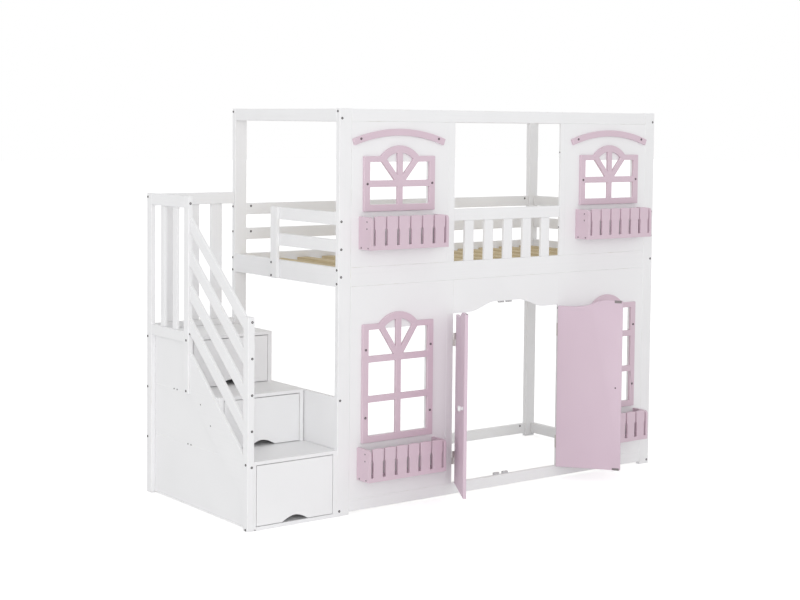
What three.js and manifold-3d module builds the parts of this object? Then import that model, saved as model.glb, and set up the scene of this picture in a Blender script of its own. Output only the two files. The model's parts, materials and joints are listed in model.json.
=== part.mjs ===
// Loft bed for one mattress, with a house front, a play space below and storage stairs.
// Millimetres, +Z up, the house front faces -Y and the stairs stand at the -X end.
// The sizes are laid out from the outer left front corner of the bed at floor level; the finished group is
// then moved so that its origin is the middle of its footprint, on the floor.
import * as THREE from 'three';
import { mergeVertices } from 'three/addons/utils/BufferGeometryUtils.js';
import Module from 'manifold-3d';

const wasm = await Module();
wasm.setup();

// Driving dimensions of the bed frame
const bedLength = 2060;
const bedWidth = 950;
const postHeight = 1896;
const postWide = 68;
const postThick = 28;
const endRailThick = 28;
const longRailThick = 24;
const headDrop = 2;
const railTall = 58;
const bedRailTall = 90;
const bedRailTop = 1160;
const guardLowerRise = 71;
const guardUpperRise = 198;
const thresholdBottom = 15;
const thresholdTall = 55;
const footRailBottom = 17;
const endPanelTop = 557;
const endPanelInset = 4;
const endPanelThick = 18;

// The mattress floor
const ledgerThick = 30;
const ledgerTall = 30;
const slatDrop = 33;
const slatThick = 18;
const slatWide = 68;
const slatCount = 13;
const slatPlay = 3;
const tapeWide = 24;
const tapeThick = 2;
const tapeInset = 170;

// The way in from the stairs
const entryWide = 362;
const entryStileWide = 58;
const entryStileThick = 18;
const entryStileFootUp = 1;
const entryStileHeadUp = 4;
const lapDowelReach = 4;

// The house front
const doorwayWide = 695;
const facadeThick = 12;
const headerSideDrop = 164;
const headerMidDrop = 120.5;
const headerSideRun = 100;
const headerMidHalf = 74;
const headerSteps = 10;
const picketCount = 5;
const picketWide = 57;
const picketThick = 16;

// Overlaid window frames
const frameThick = 14;
const windowWide = 418;
const stileWide = 34;
const mullionWide = 31;
const barWide = 30;
const shoulderRailWide = 27;
const bottomRailWide = 31;
const archHalfChord = 111;
const archRise = 50;
const archBand = 33;
const archSteps = 16;
const crossRailWide = 31;
const upperWindowDrop = 161;
const upperWindowTall = 257;
const upperCrossRail = 113;
const lowerWindowDrop = 180;
const lowerWindowTall = 559;
const lowerCrossRailA = 189;
const lowerCrossRailB = 378;

// Curved trim over the upper windows
const trimOuterRadius = 794.7;
const trimBand = 31;
const trimHalfAngle = 20;
const trimDrop = 33;
const trimThick = 14;
const trimSteps = 20;

// Flower boxes
const planterWide = 460;
const planterDeep = 98;
const planterTall = 157;
const planterBoard = 12;
const planterEndBoard = 15;
const planterEndDrop = 5;
const planterEndRound = 18;
const planterPickets = 6;
const planterSlot = 9;
const planterSlotLow = 18;
const planterStrip = 20;
const planterWaist = 0.55;
const planterScallop = 3;
const roundSteps = 6;
const upperPlanterDrop = 17.5;
const lowerPlanterDrop = 12;

// Doors and hinges
const doorThick = 16;
const doorGap = 3;
const doorSill = 2;
const doorMeeting = 28;
const doorTopDrop = 8.5;
const doorSideRun = 107.5;
const doorMidHalf = 95;
const leftDoorOpen = 122;
const rightDoorOpen = 128;
const pinFromJamb = 3;
const pinFromFace = 7;
const barrelRadius = 4.5;
const hingeTall = 66;
const hingeLeafWide = 22;
const hingeLeafThick = 2;
const hingeDrop = 124;
const hingeRise = 125;
const barrelSides = 16;
const knuckleGap = 0.3;
const knobFromPin = 300;
const knobRise = 423;
const knobRadius = 14;
const knobNeck = 8;
const knobLong = 26;
const knobSides = 20;

// The stairs
const stairWide = 484;
const stairPostTop = 964;
const stairPostWide = 34;
const stairPostDeep = 42;
const guardPostThick = 23;
const guardPostDeep = 45;
const guardPostTop = 1478;
const stepRun = 284;
const stepCount = 3;
const firstRise = 313;
const stepRise = 246.5;
const treadThick = 16;
const stairWallThick = 22;
const stairBackThick = 16;
const stairFloorThick = 18;
const sidePanelBottom = 8;
const seamDrop = 15;
const seamWide = 2;
const seamDeep = 1.5;
const midPostBehind = 16;
const guardTopRailTall = 56;
const guardBottomRailTall = 51;
const guardFootDrop = 21;
const guardSlatWide = 40;
const guardSlatThick = 15;
const guardSlatCount = 2;
const rearGuardDrop = 4;
const rearGuardSlatWide = 64;
const rearGuardSlatCount = 3;
const rearGuardFootTall = 30;
const slantThick = 15;
const slantSlope = 0.835;
const slantTall = 73;
const slantPitch = 160;
const slantTopDrop = 95;
const slantCount = 4;
const stringerTall = 208;
const stringerDrop = 735;
const slantPlay = 0.3;

// How far pieces of one solid run into each other, and cuts run past a face
const bite = 1;

// Drawers
const drawerGap = 3;
const drawerFrontThick = 16;
const drawerSideThick = 12;
const drawerBottomThick = 8;
const drawerBottomLift = 32;
const drawerSidePlay = 6;
const drawerBackPlay = 20;
const drawerSideDrop = 45;
const gripWide = 140;
const gripTall = 25;
const gripSteps = 12;

// Colours
const paint = (color, roughness = 0.5) => new THREE.MeshStandardMaterial({ color, roughness, metalness: 0 });
const whitePaint = paint('#ececec');
const pinkPaint = paint('#dabfcb');
const doorPaint = paint('#d8bfcc');
const bareWood = paint('#b8a585', 0.75);
const greySteel = new THREE.MeshStandardMaterial({ color: '#8f8b88', roughness: 0.4, metalness: 0.8 });

// Derived places of the bed frame
const rearFace = bedWidth - postThick;
const innerRight = bedLength - endRailThick;
const betweenPosts = [postWide, bedLength - postWide];
const betweenEnds = [postThick, rearFace];
const topRailTop = postHeight - headDrop;
const topRailBottom = topRailTop - railTall;
const bedRailBottom = bedRailTop - bedRailTall;
const thresholdTop = thresholdBottom + thresholdTall;
const slatTop = bedRailTop - slatDrop;
const slatBottom = slatTop - slatThick;
const middle = bedLength / 2;
const leftJamb = middle - doorwayWide / 2;
const rightJamb = middle + doorwayWide / 2;
const leftAxis = leftJamb / 2;
const entryEnd = rearFace - entryWide;
const guardLowerBottom = bedRailTop + guardLowerRise;
const guardUpperBottom = bedRailTop + guardUpperRise;
const upperShoulder = topRailBottom - upperWindowDrop;
const upperWindowBottom = upperShoulder - upperWindowTall;
const lowerShoulder = bedRailBottom - lowerWindowDrop;
const lowerWindowBottom = lowerShoulder - lowerWindowTall;
const headerSideZ = bedRailBottom - headerSideDrop;
const headerMidZ = bedRailBottom - headerMidDrop;
const treadTops = Array.from({ length: stepCount }, (_, i) => firstRise + i * stepRise);
const platformTop = treadTops[stepCount - 1];

// Geometry helpers
function box(x, y, z) {
  const geometry = new THREE.BoxGeometry(x[1] - x[0], y[1] - y[0], z[1] - z[0]);
  return geometry.translate((x[0] + x[1]) / 2, (y[0] + y[1]) / 2, (z[0] + z[1]) / 2);
}

function outline(points) {
  return new THREE.Shape(points.map(([a, b]) => new THREE.Vector2(a, b)));
}

// A flat outline of (x, z) points, given depth from y[0] to y[1]
function frontal(points, y) {
  const geometry = new THREE.ExtrudeGeometry(outline(points), { depth: y[1] - y[0], bevelEnabled: false });
  return geometry.rotateX(Math.PI / 2).translate(0, y[1], 0);
}

// A flat outline of (y, z) points, given depth from x[0] to x[1]
function sideways(points, x) {
  const geometry = new THREE.ExtrudeGeometry(outline(points), { depth: x[1] - x[0], bevelEnabled: false });
  const turn = new THREE.Matrix4().makeBasis(
    new THREE.Vector3(0, 1, 0),
    new THREE.Vector3(0, 0, 1),
    new THREE.Vector3(1, 0, 0),
  );
  return geometry.applyMatrix4(turn).translate(x[0], 0, 0);
}

function solid(geometry) {
  const plain = geometry.clone();
  plain.deleteAttribute('normal');
  plain.deleteAttribute('uv');
  const merged = mergeVertices(plain, 1e-4);
  const mesh = new wasm.Mesh({
    numProp: 3,
    vertProperties: new Float32Array(merged.attributes.position.array),
    triVerts: new Uint32Array(merged.index.array),
  });
  return new wasm.Manifold(mesh);
}

function surface(body) {
  const mesh = body.getMesh();
  const geometry = new THREE.BufferGeometry();
  geometry.setAttribute('position', new THREE.BufferAttribute(mesh.vertProperties, 3));
  geometry.setIndex(new THREE.BufferAttribute(mesh.triVerts, 1));
  return geometry;
}

function joined(...geometries) {
  return surface(geometries.map(solid).reduce((whole, piece) => whole.add(piece)));
}

function shaped(adds, cuts) {
  const whole = adds.map(solid).reduce((sum, piece) => sum.add(piece));
  return surface(cuts.map(solid).reduce((rest, piece) => rest.subtract(piece), whole));
}

// The same piece at the other end of the house front
function mirrored(geometry) {
  const plain = geometry.clone();
  plain.deleteAttribute('normal');
  plain.deleteAttribute('uv');
  const copy = mergeVertices(plain, 1e-4);
  const places = copy.attributes.position;
  for (let i = 0; i < places.count; i += 1) places.setX(i, bedLength - places.getX(i));
  const corners = copy.index.array;
  for (let i = 0; i < corners.length; i += 3) {
    [corners[i + 1], corners[i + 2]] = [corners[i + 2], corners[i + 1]];
  }
  return copy;
}

const bed = new THREE.Group();

function place(name, geometry, material, parent = bed) {
  const mesh = new THREE.Mesh(geometry, material);
  mesh.name = name;
  parent.add(mesh);
  return mesh;
}

// Posts, flat boards with their wide face to the front
for (const [side, x] of [['left', [0, postWide]], ['right', [bedLength - postWide, bedLength]]]) {
  place(`post_front_${side}`, box(x, [0, postThick], [0, postHeight]), whitePaint);
  place(`post_rear_${side}`, box(x, [rearFace, bedWidth], [0, postHeight]), whitePaint);
}

// Rails between the posts
const frontRail = [0, longRailThick];
const rearRail = [bedWidth - longRailThick, bedWidth];
const leftRail = [0, endRailThick];
const rightRail = [innerRight, bedLength];
const topRailZ = [topRailBottom, topRailTop];
const bedRailZ = [bedRailBottom, bedRailTop];
const lowerGuardZ = [guardLowerBottom, guardLowerBottom + railTall];
const upperGuardZ = [guardUpperBottom, guardUpperBottom + railTall];
const footRailZ = [footRailBottom, footRailBottom + railTall];

place('top_rail_front', box(betweenPosts, frontRail, topRailZ), whitePaint);
place('top_rail_rear', box(betweenPosts, rearRail, topRailZ), whitePaint);
place('top_rail_left', box(leftRail, betweenEnds, topRailZ), whitePaint);
place('top_rail_right', box(rightRail, betweenEnds, topRailZ), whitePaint);
place('bed_rail_left', box(leftRail, betweenEnds, bedRailZ), whitePaint);
place('bed_rail_right', box(rightRail, betweenEnds, bedRailZ), whitePaint);
place('guard_rail_rear_lower', box(betweenPosts, rearRail, lowerGuardZ), whitePaint);
place('guard_rail_rear_upper', box(betweenPosts, rearRail, upperGuardZ), whitePaint);
place('guard_rail_right_lower', box(rightRail, betweenEnds, lowerGuardZ), whitePaint);
place('guard_rail_right_upper', box(rightRail, betweenEnds, upperGuardZ), whitePaint);
place('threshold_front', box(betweenPosts, frontRail, [thresholdBottom, thresholdTop]), whitePaint);
place('bottom_rail_rear', box(betweenPosts, rearRail, footRailZ), whitePaint);
place('bottom_rail_right', box(rightRail, betweenEnds, footRailZ), whitePaint);
place(
  'left_end_panel',
  box([endPanelInset, endPanelInset + endPanelThick], betweenEnds, [thresholdBottom, endPanelTop]),
  whitePaint,
);

// Long bed rails, each an L with its ledger strip for the slats
const ledgerZ = [slatBottom - ledgerTall, slatBottom];
const frontLedger = [
  [0, bedRailBottom],
  [longRailThick, bedRailBottom],
  [longRailThick, ledgerZ[0]],
  [longRailThick + ledgerThick, ledgerZ[0]],
  [longRailThick + ledgerThick, ledgerZ[1]],
  [longRailThick, ledgerZ[1]],
  [longRailThick, bedRailTop],
  [0, bedRailTop],
];
const rearLedger = frontLedger.map(([y, z]) => [bedWidth - y, z]).reverse();
place('bed_rail_front', sideways(frontLedger, betweenPosts), whitePaint);
place('bed_rail_rear', sideways(rearLedger, betweenPosts), whitePaint);

// Slats of bare wood, held at their pitch by two webbing strips
const slatY = [longRailThick + slatPlay, bedWidth - longRailThick - slatPlay];
const slatStart = postWide + slatPlay;
const slatPitch = (bedLength - 2 * slatStart - slatWide) / (slatCount - 1);
const slatParts = [];
for (let i = 0; i < slatCount; i += 1) {
  const x = slatStart + i * slatPitch;
  slatParts.push(box([x, x + slatWide], slatY, [slatBottom, slatTop]));
}
for (const y of [tapeInset, bedWidth - tapeInset - tapeWide]) {
  const tapeZ = [slatBottom - tapeThick, slatBottom + bite];
  slatParts.push(box([slatStart + bite, bedLength - slatStart - bite], [y, y + tapeWide], tapeZ));
}
place('slat_base', joined(...slatParts), bareWood);

// Short guard at the stair end, with the stile that laps outside the bed rail
const entryRailY = [postThick, entryEnd];
const entryStileY = [entryEnd - entryStileWide, entryEnd];
const entryStileZ = [bedRailBottom + entryStileFootUp, upperGuardZ[1] + entryStileHeadUp];
const dowelX = [-lapDowelReach, lapDowelReach];
const dowelY = [entryStileY[0] + lapDowelReach, entryStileY[1] - lapDowelReach];
place(
  'entry_guard',
  joined(
    box(leftRail, entryRailY, lowerGuardZ),
    box(leftRail, entryRailY, upperGuardZ),
    box([-entryStileThick, 0], entryStileY, entryStileZ),
    box(dowelX, dowelY, [lowerGuardZ[0] + lapDowelReach, lowerGuardZ[1] - lapDowelReach]),
    box(dowelX, dowelY, [upperGuardZ[0] + lapDowelReach, upperGuardZ[1] - lapDowelReach]),
  ),
  whitePaint,
);

// Window frames: two stiles, a bottom rail, cross rails, a mullion, two slanted bars and an arched head
function archCircle(halfChord, rise) {
  return (halfChord * halfChord + rise * rise) / (2 * rise);
}

function arcPoints(radius, x, z, from, to, steps) {
  const points = [];
  for (let i = 0; i <= steps; i += 1) {
    const angle = from + ((to - from) * i) / steps;
    points.push([x + radius * Math.sin(angle), z + radius * Math.cos(angle)]);
  }
  return points;
}

function windowFrame(axis, bottom, rails, shoulder) {
  const half = windowWide / 2;
  const inner = half - stileWide;
  const railBelow = shoulder - shoulderRailWide;
  const radius = archCircle(archHalfChord, archRise);
  const centreZ = shoulder + archRise - radius;
  const swing = Math.asin(archHalfChord / radius);
  const y = [-frameThick, 0];
  const outer = [
    [axis - half, bottom],
    [axis + half, bottom],
    [axis + half, shoulder],
    ...arcPoints(radius, axis, centreZ, swing, -swing, archSteps),
    [axis - half, shoulder],
  ];
  const innerRadius = radius - archBand;
  const innerSwing = Math.acos((railBelow - centreZ) / innerRadius);
  const through = [-frameThick - bite, bite];
  const lastRail = rails[rails.length - 1] + crossRailWide;
  const opening = [
    [axis - inner, bottom + bottomRailWide],
    [axis + inner, bottom + bottomRailWide],
    [axis + inner, railBelow],
    ...arcPoints(innerRadius, axis, centreZ, innerSwing, -innerSwing, archSteps),
    [axis - inner, railBelow],
  ];
  const hollow = solid(frontal(opening, through));
  const shell = solid(frontal(outer, y));
  let bars = solid(box([axis - mullionWide / 2, axis + mullionWide / 2], y, [bottom, shoulder + archRise]));
  for (const z of rails) {
    bars = bars.add(solid(box([axis - half, axis + half], y, [z, z + crossRailWide])));
  }
  for (const side of [-1, 1]) {
    const run = side * archHalfChord;
    const climb = shoulder - lastRail;
    const long = Math.hypot(run, climb);
    const offset = [((barWide / 2) * climb) / long, ((-barWide / 2) * run) / long];
    const foot = [axis, lastRail - crossRailWide / 2];
    const head = [axis + run, shoulder];
    const bar = [
      [foot[0] - offset[0], foot[1] - offset[1]],
      [foot[0] + offset[0], foot[1] + offset[1]],
      [head[0] + offset[0], head[1] + offset[1]],
      [head[0] - offset[0], head[1] - offset[1]],
    ];
    bars = bars.add(solid(frontal(bar, y)));
  }
  return surface(shell.subtract(hollow.subtract(bars)));
}

// The plain hole in the facade panel behind a window frame
function windowHole(axis, bottom, shoulder) {
  const inner = windowWide / 2 - stileWide;
  return box(
    [axis - inner, axis + inner],
    [-bite, facadeThick + bite],
    [bottom + bottomRailWide, shoulder - shoulderRailWide],
  );
}

const windowKinds = [
  ['upper', upperWindowBottom, [upperCrossRail], upperShoulder, [bedRailTop, topRailBottom]],
  ['lower', lowerWindowBottom, [lowerCrossRailA, lowerCrossRailB], lowerShoulder, [thresholdTop, bedRailBottom]],
];
for (const [level, bottom, rises, shoulder, panelZ] of windowKinds) {
  const frame = windowFrame(leftAxis, bottom, rises.map((rise) => bottom + rise), shoulder);
  place(`window_${level}_left`, frame, pinkPaint);
  place(`window_${level}_right`, mirrored(frame), pinkPaint);
  const panel = shaped(
    [box([postWide, leftJamb], [0, facadeThick], panelZ)],
    [windowHole(leftAxis, bottom, shoulder)],
  );
  place(`facade_${level}_left`, panel, whitePaint);
  place(`facade_${level}_right`, mirrored(panel), whitePaint);
}

// Curved trim over each upper window
const trimSwing = THREE.MathUtils.degToRad(trimHalfAngle);
const trimCentreZ = topRailBottom - trimDrop - trimOuterRadius;
const trimInner = trimOuterRadius - trimBand;
const trimShape = [
  ...arcPoints(trimInner, leftAxis, trimCentreZ, -trimSwing, trimSwing, trimSteps),
  ...arcPoints(trimOuterRadius, leftAxis, trimCentreZ, trimSwing, -trimSwing, trimSteps),
];
const trim = frontal(trimShape, [-trimThick, 0]);
place('arch_left', trim, pinkPaint);
place('arch_right', mirrored(trim), pinkPaint);

// An edge that is low at the sides and high in the middle, joined by a smooth wave
function waveEdge(from, to, [sideRun, midHalf, sideZ, midZ]) {
  const sideEdge = doorwayWide / 2 - sideRun;
  const height = (x) => {
    const share = (Math.abs(x - middle) - midHalf) / (sideEdge - midHalf);
    return midZ - ((midZ - sideZ) * (1 - Math.cos(Math.PI * Math.min(Math.max(share, 0), 1)))) / 2;
  };
  const xs = [from, to];
  for (const side of [-1, 1]) {
    for (let i = 0; i <= headerSteps; i += 1) {
      xs.push(middle + side * (midHalf + ((sideEdge - midHalf) * i) / headerSteps));
    }
  }
  return xs
    .filter((x) => x >= from && x <= to)
    .sort((a, b) => a - b)
    .map((x) => [x, height(x)]);
}

const headerShape = [
  ...waveEdge(leftJamb, rightJamb, [headerSideRun, headerMidHalf, headerSideZ, headerMidZ]),
  [rightJamb, bedRailBottom],
  [leftJamb, bedRailBottom],
];
place('door_header', frontal(headerShape, [0, facadeThick]), whitePaint);

// Picket guard between the upper facade panels
const guardParts = [box([leftJamb, rightJamb], frontRail, upperGuardZ)];
const picketGap = (doorwayWide - picketCount * picketWide) / (picketCount + 1);
for (let i = 0; i < picketCount; i += 1) {
  const x = leftJamb + picketGap + i * (picketWide + picketGap);
  guardParts.push(box([x, x + picketWide], [0, picketThick], [bedRailTop, upperGuardZ[0] + bite]));
}
place('front_guard', joined(...guardParts), whitePaint);

// Flower box, open to the facade behind it: bottom, two end plates and a comb of pickets over a closed strip
function planter(axis, top) {
  const left = axis - planterWide / 2;
  const right = axis + planterWide / 2;
  const bottom = top - planterTall;
  const front = -planterDeep;
  const combLeft = left + planterEndBoard;
  const combRight = right - planterEndBoard;
  const pitch = (combRight - combLeft - planterSlot) / planterPickets;
  const widen = (planterSlotLow - planterSlot) / 2;
  const low = bottom + planterStrip;
  const waist = low + (top - low) * planterWaist;
  const comb = [[combRight + bite, bottom], [combRight + bite, low]];
  for (let i = planterPickets - 1; i >= 0; i -= 1) {
    const a = combLeft + planterSlot + i * pitch;
    const b = a + pitch - planterSlot;
    comb.push([b - widen, low], [b - widen, waist], [b, waist], [b, top - planterScallop]);
    comb.push([(a + b) / 2, top]);
    comb.push([a, top - planterScallop], [a, waist], [a + widen, waist], [a + widen, low]);
  }
  comb.push([combLeft - bite, low], [combLeft - bite, bottom]);
  comb.reverse();
  const endTop = top - planterEndDrop;
  const corner = [];
  for (let i = 0; i <= roundSteps; i += 1) {
    const angle = (Math.PI / 2) * (i / roundSteps);
    corner.push([
      front + planterEndRound * (1 - Math.sin(angle)),
      endTop - planterEndRound * (1 - Math.cos(angle)),
    ]);
  }
  const end = [[front, bottom], [0, bottom], [0, endTop], ...corner];
  return joined(
    frontal(comb, [front, front + planterBoard]),
    sideways(end, [left, combLeft]),
    sideways(end, [combRight, right]),
    box([combLeft - bite, combRight + bite], [front, 0], [bottom, bottom + planterBoard]),
  );
}

for (const [level, top] of [
  ['upper', upperWindowBottom - upperPlanterDrop],
  ['lower', lowerWindowBottom - lowerPlanterDrop],
]) {
  const flowerBox = planter(leftAxis, top);
  place(`planter_${level}_left`, flowerBox, pinkPaint);
  place(`planter_${level}_right`, mirrored(flowerBox), pinkPaint);
}

// Hinges: a plate on the facade carries the lower half of the barrel, and a plate on the door the upper half
const pinX = leftJamb + pinFromJamb;
const barrelHalf = hingeTall / 2;

function knuckle(side, z, height) {
  const barrel = new THREE.CylinderGeometry(barrelRadius, barrelRadius, height[1] - height[0], barrelSides);
  barrel.rotateX(Math.PI / 2).translate(pinX, -pinFromFace, z + (height[0] + height[1]) / 2);
  const outer = pinX + side * barrelRadius;
  const inner = outer - side * hingeLeafThick;
  const neckX = [Math.min(inner, outer), Math.max(inner, outer)];
  const plateEnd = inner + side * hingeLeafWide;
  const plateX = [Math.min(inner, plateEnd), Math.max(inner, plateEnd)];
  return [
    barrel,
    box(neckX, [-pinFromFace, 0], [z + height[0], z + height[1]]),
    box(plateX, [-hingeLeafThick, 0], [z - barrelHalf, z + barrelHalf]),
  ];
}

const doorBottom = thresholdTop + doorSill;
const hingeHeights = [['upper', headerSideZ - doorGap - hingeDrop], ['lower', doorBottom + hingeRise]];
for (const [level, z] of hingeHeights) {
  const leftHinge = joined(...knuckle(-1, z, [-barrelHalf, 0]));
  place(`hinge_left_${level}`, leftHinge, greySteel);
  place(`hinge_right_${level}`, mirrored(leftHinge), greySteel);
}

// Doors, drawn closed round their hinge pin and then swung open
const doorEdges = [leftJamb + doorGap, middle - doorMeeting / 2];
const doorWave = [doorSideRun, doorMidHalf, headerSideZ - doorGap, headerMidZ - doorTopDrop];
const leafShape = [
  [doorEdges[0], doorBottom],
  [doorEdges[1], doorBottom],
  ...waveEdge(doorEdges[0], doorEdges[1], doorWave).reverse(),
];
const knobProfile = [
  [0, -knobLong],
  [knobRadius * 0.4, -knobLong],
  [knobRadius * 0.85, -knobLong * 0.88],
  [knobRadius, -knobLong * 0.69],
  [knobRadius * 0.85, -knobLong * 0.5],
  [knobNeck, -knobLong * 0.35],
  [knobNeck * 1.2, -knobLong * 0.12],
  [knobNeck * 1.4, bite],
  [0, bite],
];
const knob = new THREE.LatheGeometry(knobProfile.map(([radius, along]) => new THREE.Vector2(radius, along)), knobSides);
knob.translate(pinX + knobFromPin, 0, doorBottom + knobRise);
const leftDoor = joined(
  frontal(leafShape, [0, doorThick]),
  knob,
  ...hingeHeights.flatMap(([, z]) => knuckle(1, z, [knuckleGap, barrelHalf])),
);

for (const [name, geometry, x, open] of [
  ['door_left', leftDoor, pinX, -leftDoorOpen],
  ['door_right', mirrored(leftDoor), bedLength - pinX, rightDoorOpen],
]) {
  const swing = new THREE.Group();
  swing.position.set(x, -pinFromFace, 0);
  swing.rotation.z = THREE.MathUtils.degToRad(open);
  bed.add(swing);
  place(name, geometry.translate(-x, pinFromFace, 0), doorPaint, swing);
}

// Stair posts
const stairLeft = -stairWide;
const panelOuter = stairLeft + guardPostThick;
const panelInner = panelOuter + stairWallThick;
const guardPostX = [stairLeft, panelOuter];
const midPostRear = 2 * stepRun + midPostBehind;
const midPostY = [midPostRear - guardPostDeep, midPostRear];
const rearPostY = [bedWidth - guardPostDeep, bedWidth];
const frontPostX = [stairLeft, stairLeft + stairPostWide];
place('stair_post_front', box(frontPostX, [0, stairPostDeep], [0, stairPostTop]), whitePaint);
place('stair_post_mid', box(guardPostX, midPostY, [treadTops[1] - treadThick, guardPostTop]), whitePaint);
place('stair_post_rear', box(guardPostX, rearPostY, [0, guardPostTop]), whitePaint);

// Stepped outline shared by the two stair walls
function steppedOutline(bottom) {
  const points = [[0, bottom], [bedWidth, bottom], [bedWidth, platformTop]];
  for (let i = stepCount - 1; i > 0; i -= 1) {
    points.push([i * stepRun, treadTops[i]], [i * stepRun, treadTops[i - 1]]);
  }
  points.push([0, treadTops[0]]);
  return points;
}

// Stair box: right wall, floor, back and three shelves whose fronts are the treads
const bayX = [panelInner, -stairWallThick];
const carcassParts = [
  sideways(steppedOutline(0), [-stairWallThick, 0]),
  box([bayX[0], 0], [0, bedWidth], [0, stairFloorThick]),
  box([bayX[0], 0], [bedWidth - stairBackThick, bedWidth], [0, platformTop]),
];
treadTops.forEach((top, i) => {
  carcassParts.push(box([bayX[0], 0], [i * stepRun, bedWidth], [top - treadThick, top]));
});
place('stair_carcass', joined(...carcassParts), whitePaint);

// Left side of the stairs, three stacked panels with seams, notched round the front post
const seams = treadTops.map((top) => {
  const z = top - seamDrop;
  return box([panelOuter - bite, panelOuter + seamDeep], [-bite, bedWidth + bite], [z - seamWide / 2, z + seamWide / 2]);
});
const postNotch = box([panelOuter - bite, frontPostX[1]], [-bite, stairPostDeep], [0, stairPostTop]);
place(
  'stair_side_left',
  shaped([sideways(steppedOutline(sidePanelBottom), [panelOuter, panelInner])], [...seams, postNotch]),
  whitePaint,
);

// Slanted boards between the front and the middle post
const slantX = [panelOuter - slantThick, panelOuter];
const slantY = [stairPostDeep + slantPlay, midPostY[0] - slantPlay];
function slant(topAtMidPost, tall) {
  const drop = slantSlope * (slantY[1] - slantY[0]);
  return sideways(
    [
      [slantY[0], topAtMidPost - drop - tall],
      [slantY[1], topAtMidPost - tall],
      [slantY[1], topAtMidPost],
      [slantY[0], topAtMidPost - drop],
    ],
    slantX,
  );
}
for (let i = 0; i < slantCount; i += 1) {
  const top = guardPostTop - slantTopDrop - i * slantPitch;
  place(`stair_rail_${i + 1}`, slant(top, slantTall), whitePaint);
}
place('stair_stringer', slant(guardPostTop - stringerDrop, stringerTall), whitePaint);

// Slatted guards at the head of the stairs
function slats(from, to, count, wide) {
  const gap = (to - from - count * wide) / (count + 1);
  return Array.from({ length: count }, (_, i) => {
    const start = from + gap + i * (wide + gap);
    return [start, start + wide];
  });
}

const sideGuardY = [midPostY[1], rearPostY[0]];
const sideTopZ = [guardPostTop - guardTopRailTall, guardPostTop];
const sideFootZ = [platformTop - guardFootDrop, platformTop - guardFootDrop + guardBottomRailTall];
const sideSlatX = [panelOuter - guardSlatThick, panelOuter];
place(
  'stair_guard_left',
  joined(
    box(guardPostX, sideGuardY, sideTopZ),
    box(guardPostX, sideGuardY, sideFootZ),
    ...slats(sideGuardY[0], sideGuardY[1], guardSlatCount, guardSlatWide)
      .map((y) => box(sideSlatX, y, [sideFootZ[1] - bite, sideTopZ[0] + bite])),
  ),
  whitePaint,
);

const rearGuardX = [panelOuter, 0];
const rearTopZ = [guardPostTop - rearGuardDrop - railTall, guardPostTop - rearGuardDrop];
const rearFootZ = [platformTop, platformTop + rearGuardFootTall];
const rearSlatY = [bedWidth - guardSlatThick, bedWidth];
place(
  'stair_guard_rear',
  joined(
    box(rearGuardX, rearRail, rearTopZ),
    box(rearGuardX, rearRail, rearFootZ),
    ...slats(rearGuardX[0], rearGuardX[1], rearGuardSlatCount, rearGuardSlatWide)
      .map((x) => box(x, rearSlatY, [rearFootZ[1] - bite, rearTopZ[0] + bite])),
  ),
  whitePaint,
);

// Drawers: a front with an arched grip hole below, two runners that are the sides, a bottom and a back
function drawer(level) {
  const seat = level === 0 ? stairFloorThick : treadTops[level - 1];
  const roof = treadTops[level] - treadThick;
  const frontY = level * stepRun;
  const frontX = [bayX[0] + drawerGap, bayX[1] - drawerGap];
  const sideX = [bayX[0] + drawerSidePlay, bayX[1] - drawerSidePlay];
  const backY = bedWidth - stairBackThick - drawerBackPlay;
  const sideTop = roof - drawerSideDrop;
  const inside = frontY + drawerFrontThick - bite;
  const bottomZ = seat + drawerBottomLift;
  const grip = [];
  const gripX = (frontX[0] + frontX[1]) / 2;
  for (let i = 0; i <= gripSteps; i += 1) {
    const share = i / gripSteps;
    const rise = gripTall * (0.5 - 0.5 * Math.cos(2 * Math.PI * share)) ** 0.5;
    grip.push([gripX + gripWide * (0.5 - share), seat + drawerGap + rise]);
  }
  grip.push([gripX - gripWide / 2, seat], [gripX + gripWide / 2, seat]);
  grip.reverse();
  return shaped(
    [
      box(frontX, [frontY, frontY + drawerFrontThick], [seat + drawerGap, roof - drawerGap]),
      box([sideX[0], sideX[0] + drawerSideThick], [inside, backY], [seat, sideTop]),
      box([sideX[1] - drawerSideThick, sideX[1]], [inside, backY], [seat, sideTop]),
      box([sideX[0] + bite, sideX[1] - bite], [backY - drawerSideThick, backY], [bottomZ, sideTop]),
      box([sideX[0] + bite, sideX[1] - bite], [inside, backY - bite], [bottomZ, bottomZ + drawerBottomThick]),
    ],
    [frontal(grip, [frontY - bite, frontY + drawerFrontThick + bite])],
  );
}

for (let level = 0; level < treadTops.length; level += 1) {
  place(`drawer_${level + 1}`, drawer(level), whitePaint);
}

// Move the origin to the middle of the footprint, on the floor
bed.updateMatrixWorld(true);
const bounds = new THREE.Box3().setFromObject(bed, true);
bed.position.set(-(bounds.min.x + bounds.max.x) / 2, -(bounds.min.y + bounds.max.y) / 2, -bounds.min.z);

const loftBed = new THREE.Group();
loftBed.add(bed);
export default loftBed;
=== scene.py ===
"""Dresses a child's loft bed with storage stairs and a small house front.

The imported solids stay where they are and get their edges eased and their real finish. The parts that are made
of several boards, the doors with their ironmongery, the slats and every bolt and screw are worked out here as
surfaces. Sizes are millimetres, laid out from the outer left front foot of the bed, and become metres when a
piece is made.
"""
import json
import logging
import math
from dataclasses import dataclass, field
from enum import Enum

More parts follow.
